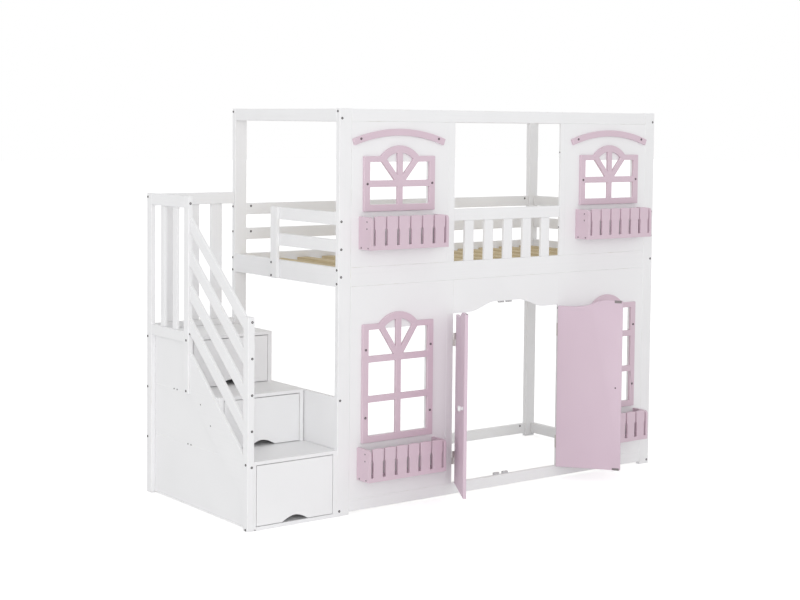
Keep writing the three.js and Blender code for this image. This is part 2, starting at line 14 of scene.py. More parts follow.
import bmesh
import bpy
import numpy as np
from mathutils import Matrix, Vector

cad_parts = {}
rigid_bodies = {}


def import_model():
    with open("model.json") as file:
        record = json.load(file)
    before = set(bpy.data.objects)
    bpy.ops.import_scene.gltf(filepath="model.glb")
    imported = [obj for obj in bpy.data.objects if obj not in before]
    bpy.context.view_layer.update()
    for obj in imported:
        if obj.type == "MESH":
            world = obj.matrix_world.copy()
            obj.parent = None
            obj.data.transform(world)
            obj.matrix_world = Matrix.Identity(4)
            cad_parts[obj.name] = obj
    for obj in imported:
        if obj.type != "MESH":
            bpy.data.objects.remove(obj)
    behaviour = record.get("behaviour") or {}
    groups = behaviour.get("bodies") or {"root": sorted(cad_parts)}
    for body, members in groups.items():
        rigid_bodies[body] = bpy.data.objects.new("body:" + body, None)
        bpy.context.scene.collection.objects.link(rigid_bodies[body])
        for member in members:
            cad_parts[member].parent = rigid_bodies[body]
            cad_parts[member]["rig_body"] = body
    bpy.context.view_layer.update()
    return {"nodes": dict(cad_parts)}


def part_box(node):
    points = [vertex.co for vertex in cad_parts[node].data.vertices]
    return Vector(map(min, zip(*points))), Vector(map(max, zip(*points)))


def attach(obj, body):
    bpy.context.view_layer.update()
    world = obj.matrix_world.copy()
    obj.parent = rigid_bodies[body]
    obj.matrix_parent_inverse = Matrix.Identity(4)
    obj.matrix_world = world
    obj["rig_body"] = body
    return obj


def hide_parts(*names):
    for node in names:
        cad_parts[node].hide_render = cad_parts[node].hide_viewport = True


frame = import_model()
LOG = logging.getLogger("loft_bed")
MM = 0.001
PLACE = np.array(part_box("post_front_left")[0])
BED = "bed_frame"
# How far edges are rounded, in millimetres: planed boards, routed trims, panels, the end panel, the header
BOARD_EASE = 2.5
TRIM_EASE = 2.2
PANEL_EASE = 1.2
END_PANEL_EASE = 1.5
HEADER_EASE = 0.6
# Points nearer than this many metres are one, and faces within this many degrees are one flat face
SAME_POINT = 1e-5
SAME_PLANE = 0.5
# Only edges sharper than this many degrees are rounded, each with this many facets
SHARP_FROM = 32.0
EASE_FACETS = 3
# How strongly the shading of a rounded piece follows its large faces, of 100
FLAT_WEIGHT = 60
# Refraction of a dry coat of lacquer
LACQUER_IOR = 1.5
# Nearly all of a noise lies between these two values
NOISE_LOW, NOISE_HIGH = 0.3, 0.7
# Edges of a piece without normals of its own are smooth up to this many degrees
SMOOTH_UNDER = 40.0


class Grain(Enum):
    """The way the grain of a piece of wood runs."""

    ALONG_X = 0
    ALONG_Y = 1
    ALONG_Z = 2


class Facing(Enum):
    """The way that the head of a bolt or a screw looks."""

    FRONT = (0, -1, 0)
    REAR = (0, 1, 0)
    LEFT = (-1, 0, 0)
    RIGHT = (1, 0, 0)
    UP = (0, 0, 1)


Tree = bpy.types.NodeTree
Socket = bpy.types.NodeSocket
Triple = tuple[float, float, float]
Places = dict[Facing, list[Triple]]
Boxes = np.ndarray | list[tuple[Triple, Triple]]


def linear(code: str) -> tuple[float, float, float, float]:
    """Turns a colour as it is seen on a screen into the linear values that shaders take.

    Args:
        code: an sRGB colour such as "#d8bfcc".

    Returns:
        Linear red, green and blue, and an alpha of 1.
    """
    seen = np.array([int(code[i:i + 2], 16) for i in (1, 3, 5)]) / 255
    made = np.where(seen <= 0.04045, seen / 12.92, ((seen + 0.055) / 1.055) ** 2.4)
    return (*made.tolist(), 1.0)


def add_node(tree: Tree, kind: str, settings: dict | None = None,
             inputs: dict | None = None) -> bpy.types.Node:
    """Adds a shader node with its settings and links.

    Args:
        tree: the node tree that it joins.
        kind: Blender's name of the kind of node.
        settings: the node's own properties.
        inputs: by socket name or number, an output socket to link from or a plain value.

    Returns:
        The new node.
    """
    made = tree.nodes.new(kind)
    for name, value in (settings or {}).items():
        setattr(made, name, value)
    for name, value in (inputs or {}).items():
        if isinstance(value, Socket):
            tree.links.new(value, made.inputs[name])
        else:
            made.inputs[name].default_value = value
    return made


def empty_tree(owner: bpy.types.ID) -> Tree:
    """Gives a material or a world its own node tree, without the nodes that Blender puts in.

    Args:
        owner: the material or the world.

    Returns:
        The empty tree.
    """
    owner.use_nodes = True
    owner.node_tree.nodes.clear()
    return owner.node_tree


def add_object(name: str, data: bpy.types.ID) -> bpy.types.Object:
    """Makes an object and links it to the scene.

    Args:
        name: its name.
        data: the mesh, the lamp or the camera that it shows.

    Returns:
        The new object.
    """
    made = bpy.data.objects.new(name, data)
    bpy.context.scene.collection.objects.link(made)
    return made


@dataclass(frozen=True)
class Finish:
    """What every finish shares: its name, its record slot and the steps that make its material."""

    name: str
    slot: str

    def material(self) -> bpy.types.Material:
        """Makes the material once, and gives the same one again afterwards.

        Returns:
            The Blender material of this finish.
        """
        known = bpy.data.materials.get(self.name)
        if known:
            return known
        made = bpy.data.materials.new(self.name)
        tree = empty_tree(made)
        shader = add_node(tree, "ShaderNodeBsdfPrincipled", inputs=self.skin(tree))
        add_node(tree, "ShaderNodeOutputMaterial", inputs={"Surface": shader.outputs["BSDF"]})
        return made

    def skin(self, tree: Tree) -> dict:
        """Gives the shader's inputs, as sockets and plain values. Each kind of finish has its own.

        Args:
            tree: the material's node tree.

        Returns:
            The shader's inputs.
        """
        raise NotImplementedError

    def mottle(self, tree: Tree, patch: float | Triple, detail: float = 3.0) -> Socket:
        """Adds a noise on the piece's own coordinates, shifted from board to board.

        Args:
            tree: the material's node tree.
            patch: the size of one patch, the same every way or along X, Y and Z, in millimetres.
            detail: how many finer layers the noise has.

        Returns:
            The noise's output socket.
        """
        place = add_node(tree, "ShaderNodeTexCoord").outputs["Object"]
        board = add_node(tree, "ShaderNodeAttribute", {"attribute_name": "board"}).outputs["Fac"]
        scale = (1 / (np.ones(3) * patch * MM)).tolist()
        scaled = add_node(tree, "ShaderNodeMapping", inputs={"Vector": place, "Scale": scale})
        noise = add_node(tree, "ShaderNodeTexNoise", {"noise_dimensions": "4D"}, {
            "Vector": scaled.outputs["Vector"], "W": board,
            "Scale": 1.0, "Detail": detail, "Roughness": 0.55})
        return noise.outputs["Fac"]


def along(grain: Grain, across: float, length: float) -> Triple:
    """Patch sizes of a grain: long one way and narrow the other two."""
    return tuple(length if axis == grain.value else across for axis in range(3))


def tinted(tree: Tree, tone: object, tint: object, noise: Socket, share: float,
           start: float = NOISE_LOW, end: float = NOISE_HIGH) -> Socket:
    """Takes a tone towards a tint where a noise is high.

    Args:
        tree: the material's node tree.
        tone: the tone where the noise is low, as a linear colour or a colour socket.
        tint: the linear colour that it goes towards.
        noise: the noise.
        share: how far it goes, at most.
        start: the value of the noise at which it starts.
        end: the value at which it has gone all its share.

    Returns:
        The colour's socket.
    """
    amount = add_node(tree, "ShaderNodeMapRange", inputs={
        "Value": noise, "From Min": start, "From Max": end, "To Min": 0.0, "To Max": share})
    inputs = {0: amount.outputs["Result"], 6: tone, 7: tint}
    return add_node(tree, "ShaderNodeMix", {"data_type": "RGBA"}, inputs).outputs[2]


@dataclass(frozen=True)
class Painted(Finish):
    """What both painted finishes share: two close tones, broad patches of gloss and a shallow relief."""

    colour: str
    shade: str
    roughness: float = 0.4
    relief: float = 0.05

    def coat(self, tree: Tree, tone: Socket, patches: Socket, height: Socket) -> dict:
        """Puts a coat of lacquer together.

        Args:
            tree: the material's node tree.
            tone: its colour.
            patches: the noise that its gloss follows.
            height: the noise that its relief follows.

        Returns:
            The shader's inputs.
        """
        gloss = add_node(tree, "ShaderNodeMapRange", inputs={
            "Value": patches, "From Min": NOISE_LOW, "From Max": NOISE_HIGH,
            "To Min": self.roughness - 0.05, "To Max": self.roughness + 0.06})
        bump = add_node(tree, "ShaderNodeBump", inputs={
            "Height": height, "Strength": 0.6, "Distance": self.relief * MM})
        return {"Base Color": tone, "Roughness": gloss.outputs["Result"], "Normal": bump.outputs["Normal"],
                "IOR": LACQUER_IOR}


@dataclass(frozen=True)
class PaintedPine(Painted):
    """Satin lacquer rolled on planed pine.

    The paint hides the colour of the wood, and its rays still show through as long shallow ridges.
    """

    roughness: float = 0.42
    relief: float = 0.10
    grain: Grain = Grain.ALONG_Z
    # Annual rings of pine are 3 to 8 mm apart; under paint only the coarse ones still show
    ring: float = 7.0
    length: float = 420.0
    patch: float = 210.0
    # The stipple of a roller is 1 to 3 mm wide, and is drawn at 4 mm so that it shows
    stipple: float = 4.0

    def skin(self, tree: Tree) -> dict:
        """Sets colour, roughness and relief of the painted wood.

        Args:
            tree: the material's node tree.

        Returns:
            The shader's inputs.
        """
        rays = self.mottle(tree, along(self.grain, self.ring, self.length))
        patches = self.mottle(tree, self.patch, 1.0)
        stipple = self.mottle(tree, self.stipple, 2.0)
        tone = tinted(tree, linear(self.colour), linear(self.shade), patches, 0.45)
        tone = tinted(tree, tone, linear(self.shade), rays, 0.4, 0.45, 0.75)
        height = add_node(tree, "ShaderNodeMath", {"operation": "MULTIPLY_ADD"},
                          {0: stipple, 1: 0.35, 2: rays})
        return self.coat(tree, tone, patches, height.outputs["Value"])


@dataclass(frozen=True)
class PaintedFibreboard(Painted):
    """Satin lacquer sprayed on a routed fibreboard panel.

    There is no grain: only the slight dimple of sprayed paint, and broad patches of gloss.
    """

    # The dimples of sprayed paint are 1 to 3 mm wide, and are drawn at 6 mm so that they show
    dimple: float = 6.0
    patch: float = 260.0

    def skin(self, tree: Tree) -> dict:
        """Sets colour, roughness and relief of the painted board.

        Args:
            tree: the material's node tree.

        Returns:
            The shader's inputs.
        """
        patches = self.mottle(tree, self.patch, 1.0)
        dimples = self.mottle(tree, self.dimple, 2.0)
        tone = tinted(tree, linear(self.colour), linear(self.shade), patches, 0.5)
        tone = tinted(tree, tone, linear(self.shade), dimples, 0.12, 0.55, 0.8)
        return self.coat(tree, tone, patches, dimples)


@dataclass(frozen=True)
class RubbedAndHighlightedEdge(Finish):
    """The rounded edge of a painted board: a touch lighter than the face as a painted highlight, and rubbed
    where the paint lies thin and hands and sleeves wear it.
    """

    colour: str
    worn: str
    # Rubbed places come every 60 mm or so along an edge
    patch: float = 60.0

    def skin(self, tree: Tree) -> dict:
        """Sets a paint a touch lighter than the face, as painted highlight, that turns to the worn tone in
        short stretches.

        Args:
            tree: the material's node tree.

        Returns:
            The shader's inputs.
        """
        rubs = self.mottle(tree, self.patch, 4.0)
        tone = tinted(tree, linear(self.colour), linear(self.worn), rubs, 0.75, 0.52, 0.72)
        gloss = add_node(tree, "ShaderNodeMapRange", inputs={
            "Value": rubs, "From Min": NOISE_LOW, "From Max": NOISE_HIGH, "To Min": 0.36, "To Max": 0.52})
        return {"Base Color": tone, "Roughness": gloss.outputs["Result"], "IOR": LACQUER_IOR}


@dataclass(frozen=True)
class BarePine(Finish):
    """Planed pine without paint, sawn flat: pale early wood with darker rings, and dry to the touch."""

    early: str
    late: str
    grain: Grain = Grain.ALONG_Y
    ring: float = 9.0
    length: float = 700.0
    # How many half rings the noise goes through over its whole range
    half_rings: float = 6.0
    # Single fibres are a tenth of a millimetre wide; they are drawn as streaks of 1.5 mm so that they show
    fibre: float = 1.5
    fibre_length: float = 60.0
    # Wider than any board, so each board has one tone
    board_tone: float = 900.0

    def skin(self, tree: Tree) -> dict:
        """Sets the rings, the fine fibre and the tone of each board.

        Args:
            tree: the material's node tree.

        Returns:
            The shader's inputs.
        """
        rings = self.mottle(tree, along(self.grain, self.ring, self.length), 2.0)
        swing = add_node(tree, "ShaderNodeMath", {"operation": "MULTIPLY"}, {0: rings, 1: self.half_rings})
        waves = add_node(tree, "ShaderNodeMath", {"operation": "PINGPONG"},
                         {0: swing.outputs["Value"], 1: 1.0})
        fibre = self.mottle(tree, along(self.grain, self.fibre, self.fibre_length))
        board = self.mottle(tree, self.board_tone, 0.0)
        early, late = linear(self.early), linear(self.late)
        tone = tinted(tree, early, late, waves.outputs["Value"], 0.8, 0.35, 1.0)
        tone = tinted(tree, tone, late, fibre, 0.35)
        tone = tinted(tree, tone, early, board, 0.3)
        gloss = add_node(tree, "ShaderNodeMapRange", inputs={
            "Value": fibre, "From Min": NOISE_LOW, "From Max": NOISE_HIGH, "To Min": 0.6, "To Max": 0.75})
        bump = add_node(tree, "ShaderNodeBump", inputs={
            "Height": fibre, "Strength": 0.7, "Distance": 0.2 * MM})
        return {"Base Color": tone, "Roughness": gloss.outputs["Result"], "Normal": bump.outputs["Normal"]}


@dataclass(frozen=True)
class PlatedSteel(Finish):
    """Steel with a thin plated, oiled or blackened coat, rolled or turned, with fine scuffs."""

    colour: str
    scuff: str
    roughness: float
    # Scuffs from a driver are about 2 mm long
    scuff_size: float = 2.0

    def skin(self, tree: Tree) -> dict:
        """Sets a metal whose gloss changes from scuff to scuff.

        Args:
            tree: the material's node tree.

        Returns:
            The shader's inputs.
        """
        scuffs = self.mottle(tree, self.scuff_size, 4.0)
        tone = tinted(tree, linear(self.colour), linear(self.scuff), scuffs, 0.6)
        gloss = add_node(tree, "ShaderNodeMapRange", inputs={
            "Value": scuffs, "From Min": NOISE_LOW, "From Max": NOISE_HIGH,
            "To Min": self.roughness - 0.08, "To Max": self.roughness + 0.12})
        return {"Base Color": tone, "Roughness": gloss.outputs["Result"], "Metallic": 1.0}


@dataclass(frozen=True)
class MouldedPlastic(Finish):
    """Moulded ABS with the light spark texture of its mould; the pale grey colour is painted shade on white
    plastic.
    """

    colour: str
    shade: str
    # The pits of a spark-eroded mould are finer than a millimetre; they are drawn at 1.2 mm
    pit: float = 1.2

    def skin(self, tree: Tree) -> dict:
        """Sets a plain plastic with a slightly rough skin.

        Args:
            tree: the material's node tree.

        Returns:
            The shader's inputs.
        """
        pits = self.mottle(tree, self.pit, 2.0)
        tone = tinted(tree, linear(self.colour), linear(self.shade), pits, 0.5)
        bump = add_node(tree, "ShaderNodeBump", inputs={
            "Height": pits, "Strength": 0.4, "Distance": 0.05 * MM})
        return {"Base Color": tone, "Roughness": 0.45, "Normal": bump.outputs["Normal"]}


@dataclass(frozen=True)
class WovenTape(Finish):
    """Polyester webbing, plain woven, that holds the slats at their pitch."""

    colour: str
    shade: str
    # Real picks are 1 mm apart; they are drawn at 3 mm so that the weave shows
    pick: float = 3.0

    def skin(self, tree: Tree) -> dict:
        """Sets a checked weave with a soft sheen.

        Args:
            tree: the material's node tree.

        Returns:
            The shader's inputs.
        """
        place = add_node(tree, "ShaderNodeTexCoord").outputs["Object"]
        inputs = {"Vector": place, "Scale": 1 / (self.pick * MM)}
        weave = add_node(tree, "ShaderNodeTexChecker", inputs=inputs).outputs["Fac"]
        tone = tinted(tree, linear(self.colour), linear(self.shade), weave, 1.0, 0.0, 1.0)
        bump = add_node(tree, "ShaderNodeBump", inputs={
            "Height": weave, "Strength": 0.6, "Distance": 0.3 * MM})
        return {"Base Color": tone, "Roughness": 0.8, "Sheen Weight": 0.2, "Normal": bump.outputs["Normal"]}


WHITE = {grain: PaintedPine(f"white_satin_paint_on_pine_{grain.name.lower()}", "white_paint",
                            "#f4f4f5", "#eeeeef", grain=grain)
         for grain in Grain}
WHITE_BOARD = PaintedFibreboard("white_satin_paint_on_fibreboard", "white_paint", "#f4f4f5", "#efeff0")
# Each edge colour is a touch lighter than its face: a painted highlight along the rounded edges. The worn tones
# are real rubbing.
WHITE_EDGE_HIGHLIGHT_AND_WEAR = RubbedAndHighlightedEdge("white_paint_rubbed_at_the_edge", "white_paint", "#f6f6f7", "#e8e5e0")
PINK_BOARD = PaintedFibreboard("pink_satin_paint_on_fibreboard", "pink_paint", "#dbc5d1", "#d5beca")
PINK_EDGE_HIGHLIGHT_AND_WEAR = RubbedAndHighlightedEdge("pink_paint_rubbed_at_the_edge", "pink_paint", "#dfcad5", "#cdb6c2")
DOOR_BOARD = PaintedFibreboard("lilac_pink_satin_paint_on_fibreboard", "door_pink_paint",
                               "#dbc6d3", "#d5becd")
SLAT_PINE = BarePine("bare_planed_pine", "bare_pine", "#d6c5a0", "#bba780")
BOLT_STEEL = PlatedSteel("blackened_steel", "zinc_steel", "#3a3436", "#5d5658", 0.42)
STRIKE_STEEL = PlatedSteel("oiled_cold_rolled_steel", "zinc_steel", "#857f80", "#9d9798", 0.45)
HINGE_STEEL = PlatedSteel("zinc_plated_rolled_steel", "zinc_steel", "#dedad7", "#c2bebb", 0.42)
# The catches are white plastic. Their pale grey colour is painted shade for where they sit behind the header
# and on the threshold.
CATCH_PLASTIC_IN_PAINTED_SHADE = MouldedPlastic("moulded_grey_plastic", "white_paint", "#cfcfd1", "#c2c2c5")
TAPE = WovenTape("woven_polyester_tape", "bare_pine", "#e6e4de", "#cfccc4")


@dataclass
class Surface:
    """Points of a surface with their normals, and its faces as arrays of corner numbers."""

    points: np.ndarray
    faces: list[np.ndarray]
    normals: np.ndarray | None = None
    board: np.ndarray | None = None

    def turned(self, pin: tuple[float, float], degrees: float) -> "Surface":
        """Turns the surface round an upright pin.

        Args:
            pin: X and Y of the pin, in millimetres.
            degrees: the angle, seen from above and against the clock.

        Returns:
            The turned surface.
        """
        cos, sin = math.cos(math.radians(degrees)), math.sin(math.radians(degrees))
        turn = np.array([[cos, -sin, 0], [sin, cos, 0], [0, 0, 1]])
        centre = np.array([pin[0], pin[1], 0.0])
        normals = None if self.normals is None else self.normals @ turn.T
        return Surface((self.points - centre) @ turn.T + centre, self.faces, normals, self.board)

    def mirrored(self, about: float) -> "Surface":
        """Mirrors the surface in the upright plane X = about, and turns its faces over to look outwards.

        Args:
            about: X of the mirror plane, in millimetres.

        Returns:
            The mirrored surface.
        """
        flip = np.array([-1.0, 1.0, 1.0])
        normals = None if self.normals is None else self.normals * flip
        faces = [corners[:, ::-1] for corners in self.faces]
        return Surface(self.points * flip + np.array([2 * about, 0, 0]), faces, normals, self.board)


def together(*surfaces: Surface) -> Surface:
    """Puts several surfaces into one, by adding the count of earlier points to the corner numbers of each.

    Args:
        surfaces: the surfaces. Where one has no normals, the whole has none.

    Returns:
        The one surface.
    """
    starts = np.cumsum([0] + [len(s.points) for s in surfaces[:-1]])
    faces = [corners + start for s, start in zip(surfaces, starts) for corners in s.faces]
    known = all(s.normals is not None for s in surfaces)
    boards = [np.zeros(len(s.points)) if s.board is None else s.board for s in surfaces]
    return Surface(
        np.concatenate([s.points for s in surfaces]),
        faces,
        np.concatenate([s.normals for s in surfaces]) if known else None,
        np.concatenate(boards),
    )


def ring_quads(rings: np.ndarray, around: int) -> np.ndarray:
    """Quads between rings of points and the ring that follows each.

    Args:
        rings: the numbers of the rings that quads start from.
        around: the number of points in a ring.

    Returns:
        Four corner numbers a quad.
    """
    ring, spot = np.meshgrid(rings, np.arange(around), indexing="ij")
    after = (spot + 1) % around
    return np.stack([ring * around + spot, ring * around + after,
                     (ring + 1) * around + after, (ring + 1) * around + spot], axis=-1).reshape(-1, 4)


def repeated(parts: tuple[np.ndarray, ...], count: int, size: int) -> list[np.ndarray]:
    """Repeats the faces of one shape for its copies, by adding the count of the points before each copy.

    Args:
        parts: the faces, in one array for each number of corners.
        count: the number of copies.
        size: the number of points in the shape.

    Returns:
        The faces of all the copies.
    """
    shift = (np.arange(count) * size)[:, None, None]
    return [(part[None] + shift).reshape(-1, part.shape[1]) for part in parts]


def boards(boxes: Boxes, ease: float = BOARD_EASE, steps: int = 2, seed: int = 7) -> Surface:
    """Boards with eased edges and corners, all worked out at once.

    With n(u, v) the unit sphere at longitude u and latitude v, a point of a board is its centre, plus its
    half size less the ease times the signs of n, plus the ease times n. Where a sign changes the grid line is
    doubled, and the stretch between the two copies is a flat side.

    Args:
        boxes: the lowest and the highest corner of each board, in millimetres.
        ease: the radius of the edges.
        steps: the number of facets across an edge.
        seed: the seed of the number that sets each board's grain apart.

    Returns:
        The surface of all the boards.
    """
    lows, highs = np.moveaxis(np.asarray(boxes, float), 1, 0)
    quarter = np.linspace(0, np.pi / 2, steps + 1)
    turn = np.concatenate([quarter + i * np.pi / 2 for i in range(4)])
    rise = np.concatenate([quarter - np.pi / 2, quarter])
    sign_x = np.repeat([1, -1, -1, 1], steps + 1)
    sign_y = np.repeat([1, 1, -1, -1], steps + 1)
    sign_z = np.repeat([-1, 1], steps + 1)
    columns, rows = len(turn), len(rise)
    normals = np.stack([
        np.cos(rise)[:, None] * np.cos(turn), np.cos(rise)[:, None] * np.sin(turn),
        np.sin(rise)[:, None] * np.ones(columns)], axis=-1)
    signs = np.stack([np.tile(sign_x, (rows, 1)), np.tile(sign_y, (rows, 1)),
                      np.tile(sign_z[:, None], (1, columns))], axis=-1)
    quads = ring_quads(np.arange(1, rows - 2), columns)
    # The first and the last row shrink to the four corners of the end faces
    corner = np.arange(4) * (steps + 1)
    edge = np.arange(columns)
    after = (edge + 1) % columns
    nearest = corner[edge // (steps + 1)]
    beyond = nearest[after]
    top = (rows - 2) * columns
    last = (rows - 1) * columns
    same = nearest == beyond
    low_three = np.stack([nearest, columns + after, columns + edge], axis=-1)[same]
    low_four = np.stack([nearest, beyond, columns + after, columns + edge], axis=-1)[~same]
    high_three = np.stack([top + edge, top + after, last + nearest], axis=-1)[same]
    high_four = np.stack([top + edge, top + after, last + beyond, last + nearest], axis=-1)[~same]
    ends = np.stack([corner[::-1], last + corner])
    halves = (highs - lows) / 2
    ease = min(ease, float(halves.min()) * 0.98)
    points = ((highs + lows) / 2)[:, None, :] + signs.reshape(1, -1, 3) * (halves - ease)[:, None, :] \
        + ease * normals.reshape(1, -1, 3)
    count, size = len(lows), rows * columns
    faces = repeated((quads, low_three, low_four, high_three, high_four, ends), count, size)
    tones = np.random.default_rng(seed).random(count) * 40
    normals = np.tile(normals.reshape(-1, 3), (count, 1))
    return Surface(points.reshape(-1, 3), faces, normals, np.repeat(tones, size))


def uprights(axis: int, ends: tuple[float, float], count: int, wide: float, depth: tuple[float, float],
             height: tuple[float, float]) -> np.ndarray:
    """Upright boards of one width, with equal gaps between them and at both ends of their row.

    Args:
        axis: 0 for a row along X, and 1 for a row along Y.
        ends: where the row starts and ends, in millimetres.
        count: the number of boards.
        wide: the width of each.
        depth: their near and far face.
        height: their foot and their head.

    Returns:
        The lowest and the highest corner of each board.
    """
    gap = (ends[1] - ends[0] - count * wide) / (count + 1)
    start = ends[0] + gap + np.arange(count) * (wide + gap)
    boxes = np.empty((count, 2, 3))
    boxes[:, :, axis] = np.stack([start, start + wide], axis=-1)
    boxes[:, :, 1 - axis] = depth
    boxes[:, :, 2] = height
    return boxes


def lathe(profile: list[tuple[float, float]], centres: list[Triple], axis: Triple, around: int = 20,
          socket_from: int | None = None) -> Surface:
    """A turned shape, set down at several places.

    A point is the profile's radius at angle t round the axis, and its height along it. From ring socket_from
    on the radius is divided by the cosine of the angle to the nearest flat, which makes the circle a hexagon.

    Args:
        profile: radius and height of each ring, from the foot round to the crown.
        centres: the places, in millimetres.
        axis: the way the crown looks.
        around: the number of points in a ring.
        socket_from: the first ring that is a hexagon, or none.

    Returns:
        The surface of all the copies, closed at both ends.
    """
    rings = np.array(profile, float)
    angle = np.arange(around) * 2 * np.pi / around
    radius = np.repeat(rings[:, :1], around, axis=1)
    if socket_from is not None:
        flat = np.cos((angle % (np.pi / 3)) - np.pi / 6)
        radius[socket_from:] = radius[socket_from:] * np.cos(np.pi / 6) / flat
    way = np.array(axis, float)
    side = np.cross(way, [0.0, 0.0, 1.0]) if abs(way[2]) < 0.5 else np.array([1.0, 0.0, 0.0])
    other = np.cross(way, side)
    shape = (radius * np.cos(angle))[..., None] * side + (radius * np.sin(angle))[..., None] * other \
        + rings[:, 1, None, None] * way
    quads = ring_quads(np.arange(len(rings) - 1), around)
    foot = np.arange(around)[::-1][None]
    crown = ((len(rings) - 1) * around + np.arange(around))[None]
    spots = np.array(centres, float)
    points = (spots[:, None, :] + shape.reshape(1, -1, 3)).reshape(-1, 3)
    return Surface(points, repeated((quads, foot, crown), len(spots), len(rings) * around))


def slab(outline: np.ndarray, near: float, far: float, ease: float = 1.5, steps: int = 2) -> Surface:
    """A flat outline of X and Z given depth along Y, with its edges and its upright corners eased.

    Each corner of the outline moves in by the ease along its mitre and becomes an arc that sweeps from the
    normal of the side before it to the normal of the side after it. The same outline is then carried along a
    quarter round at the near face, along the thickness, and along a quarter round at the far face.

    Args:
        outline: X and Z of the corners, in order, against the clock seen from the front.
        near: Y of the front face.
        far: Y of the rear face.
        ease: the radius of the edges.
        steps: the number of facets across an edge.

    Returns:
        The closed surface.
    """
    corners = np.asarray(outline, float)
    side = np.roll(corners, -1, axis=0) - corners
    side /= np.linalg.norm(side, axis=1)[:, None]
    out = np.stack([side[:, 1], -side[:, 0]], axis=-1)
    before = np.roll(out, 1, axis=0)
    mitre = (out + before) / (1 + np.sum(out * before, axis=1))[:, None]
    share = np.linspace(0, 1, steps + 1)[None, :, None]
    sweep = before[:, None] * (1 - share) + out[:, None] * share
    sweep /= np.linalg.norm(sweep, axis=2)[..., None]
    middle = np.repeat((corners - ease * mitre)[:, None], steps + 1, axis=1).reshape(-1, 2)
    normal = sweep.reshape(-1, 2)
    quarter = np.linspace(0, np.pi / 2, steps + 1)
    reach = np.concatenate([np.sin(quarter), np.cos(quarter)])
    depth = np.concatenate([near + ease * (1 - np.cos(quarter)), far - ease * (1 - np.sin(quarter))])
    front = np.concatenate([-np.cos(quarter), np.sin(quarter)])
    rows, columns = len(reach), len(middle)
    flat = middle[None] + ease * reach[:, None, None] * normal[None]
    points = np.stack([flat[..., 0], np.tile(depth[:, None], (1, columns)), flat[..., 1]], axis=-1)
    normals = np.stack([reach[:, None] * normal[:, 0], np.tile(front[:, None], (1, columns)),
                        reach[:, None] * normal[:, 1]], axis=-1)
    quads = ring_quads(np.arange(rows - 1), columns)[:, [0, 3, 2, 1]]
    first = np.arange(columns)[None]
    last = ((rows - 1) * columns + np.arange(columns))[::-1][None]
    return Surface(points.reshape(-1, 3), [quads, first, last], normals.reshape(-1, 3))


def make_piece(name: str, surface: Surface, finish: Finish, body: str = BED, replaces: tuple[str, ...] = (),
               smooth: float = SMOOTH_UNDER) -> None:
    """Puts a surface into a mesh object, dresses it and lets it ride.

    Args:
        name: the piece's name.
        surface: its points and faces, in millimetres from the bed's left front foot.
        finish: what it is made of.
        body: the CAD body that it moves with.
        replaces: the CAD nodes that it stands for.
        smooth: where a surface has no normals of its own, edges sharper than this many degrees stay sharp.
    """
    mesh = bpy.data.meshes.new(name)
    faces = [face for corners in surface.faces for face in corners.tolist()]
    mesh.from_pydata((surface.points * MM + PLACE).tolist(), [], faces, shade_flat=False)
    if surface.board is not None:
        board = mesh.attributes.new("board", "FLOAT", "POINT")
        board.data.foreach_set("value", surface.board.astype(np.float32))
    if surface.normals is None:
        mesh.set_sharp_from_angle(angle=math.radians(smooth))
    else:
        mesh.normals_split_custom_set_from_vertices(surface.normals.tolist())
    mesh.materials.append(finish.material())
    piece = add_object(name, mesh)
    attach(piece, body)
    if replaces:
        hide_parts(*replaces)
    LOG.info("made %s: %d faces, rides on %s", name, len(faces), body)


def white_boards(name: str, boxes: Boxes, grain: Grain, replaces: tuple[str, ...] = ()) -> None:
    """Makes planed white boards of the bed, with their grain one way."""
    make_piece(name, boards(boxes), WHITE[grain], replaces=replaces)


def dress(node: str, finish: Finish, edge: Finish, ease: float, clamp: bool = True) -> None:
    """Makes an eased copy of a CAD node, which rides on its body and stands for it.

    The node's corners are joined, its flat faces made whole and its edges rounded.

    Args:
        node: the CAD node's name.
        finish: the finish of its faces.
        edge: the finish of its rounded edges.
        ease: the width of the rounding, in millimetres.
        clamp: whether the rounding gets narrower all over a node where two of its edges are close.
    """
    shape = bmesh.new()
    shape.from_mesh(frame["nodes"][node].data)
    bmesh.ops.remove_doubles(shape, verts=shape.verts, dist=SAME_POINT)
    flat = math.radians(SAME_PLANE)
    bmesh.ops.dissolve_limit(shape, angle_limit=flat, verts=shape.verts, edges=shape.edges)
    # A face with holes in it is cut into convex ones, so that no triangle reaches across a hole
    bmesh.ops.connect_verts_concave(shape, faces=shape.faces)
    name = f"{node}_eased"
    mesh = bpy.data.meshes.new(name)
    shape.to_mesh(mesh)
    shape.free()
    if "custom_normal" in mesh.attributes:
        mesh.attributes.remove(mesh.attributes["custom_normal"])
    mesh.shade_smooth()
    mesh.materials.append(finish.material())
    mesh.materials.append(edge.material())
    piece = add_object(name, mesh)
    rounding = piece.modifiers.new("ease_edges", "BEVEL")
    rounding.width = ease * MM
    rounding.segments = EASE_FACETS
    rounding.limit_method = "ANGLE"
    rounding.angle_limit = math.radians(SHARP_FROM)
    rounding.use_clamp_overlap = clamp
    # The material slot of the edges, which carries their painted highlight and their wear
    rounding.material = 1
    shading = piece.modifiers.new("flat_faces_stay_flat", "WEIGHTED_NORMAL")
    shading.weight = FLAT_WEIGHT
    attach(piece, frame["nodes"][node]["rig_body"])
    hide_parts(node)
    LOG.info("dressed %s with %s", node, finish.name)


def dress_boards(by_grain: dict[Grain, tuple[str, ...]]) -> None:
    """Dresses planed boards in white.

    Args:
        by_grain: the CAD nodes, by the way that their grain runs.
    """
    for grain, nodes in by_grain.items():
        for node in nodes:
            dress(node, WHITE[grain], WHITE_EDGE_HIGHLIGHT_AND_WEAR, BOARD_EASE)


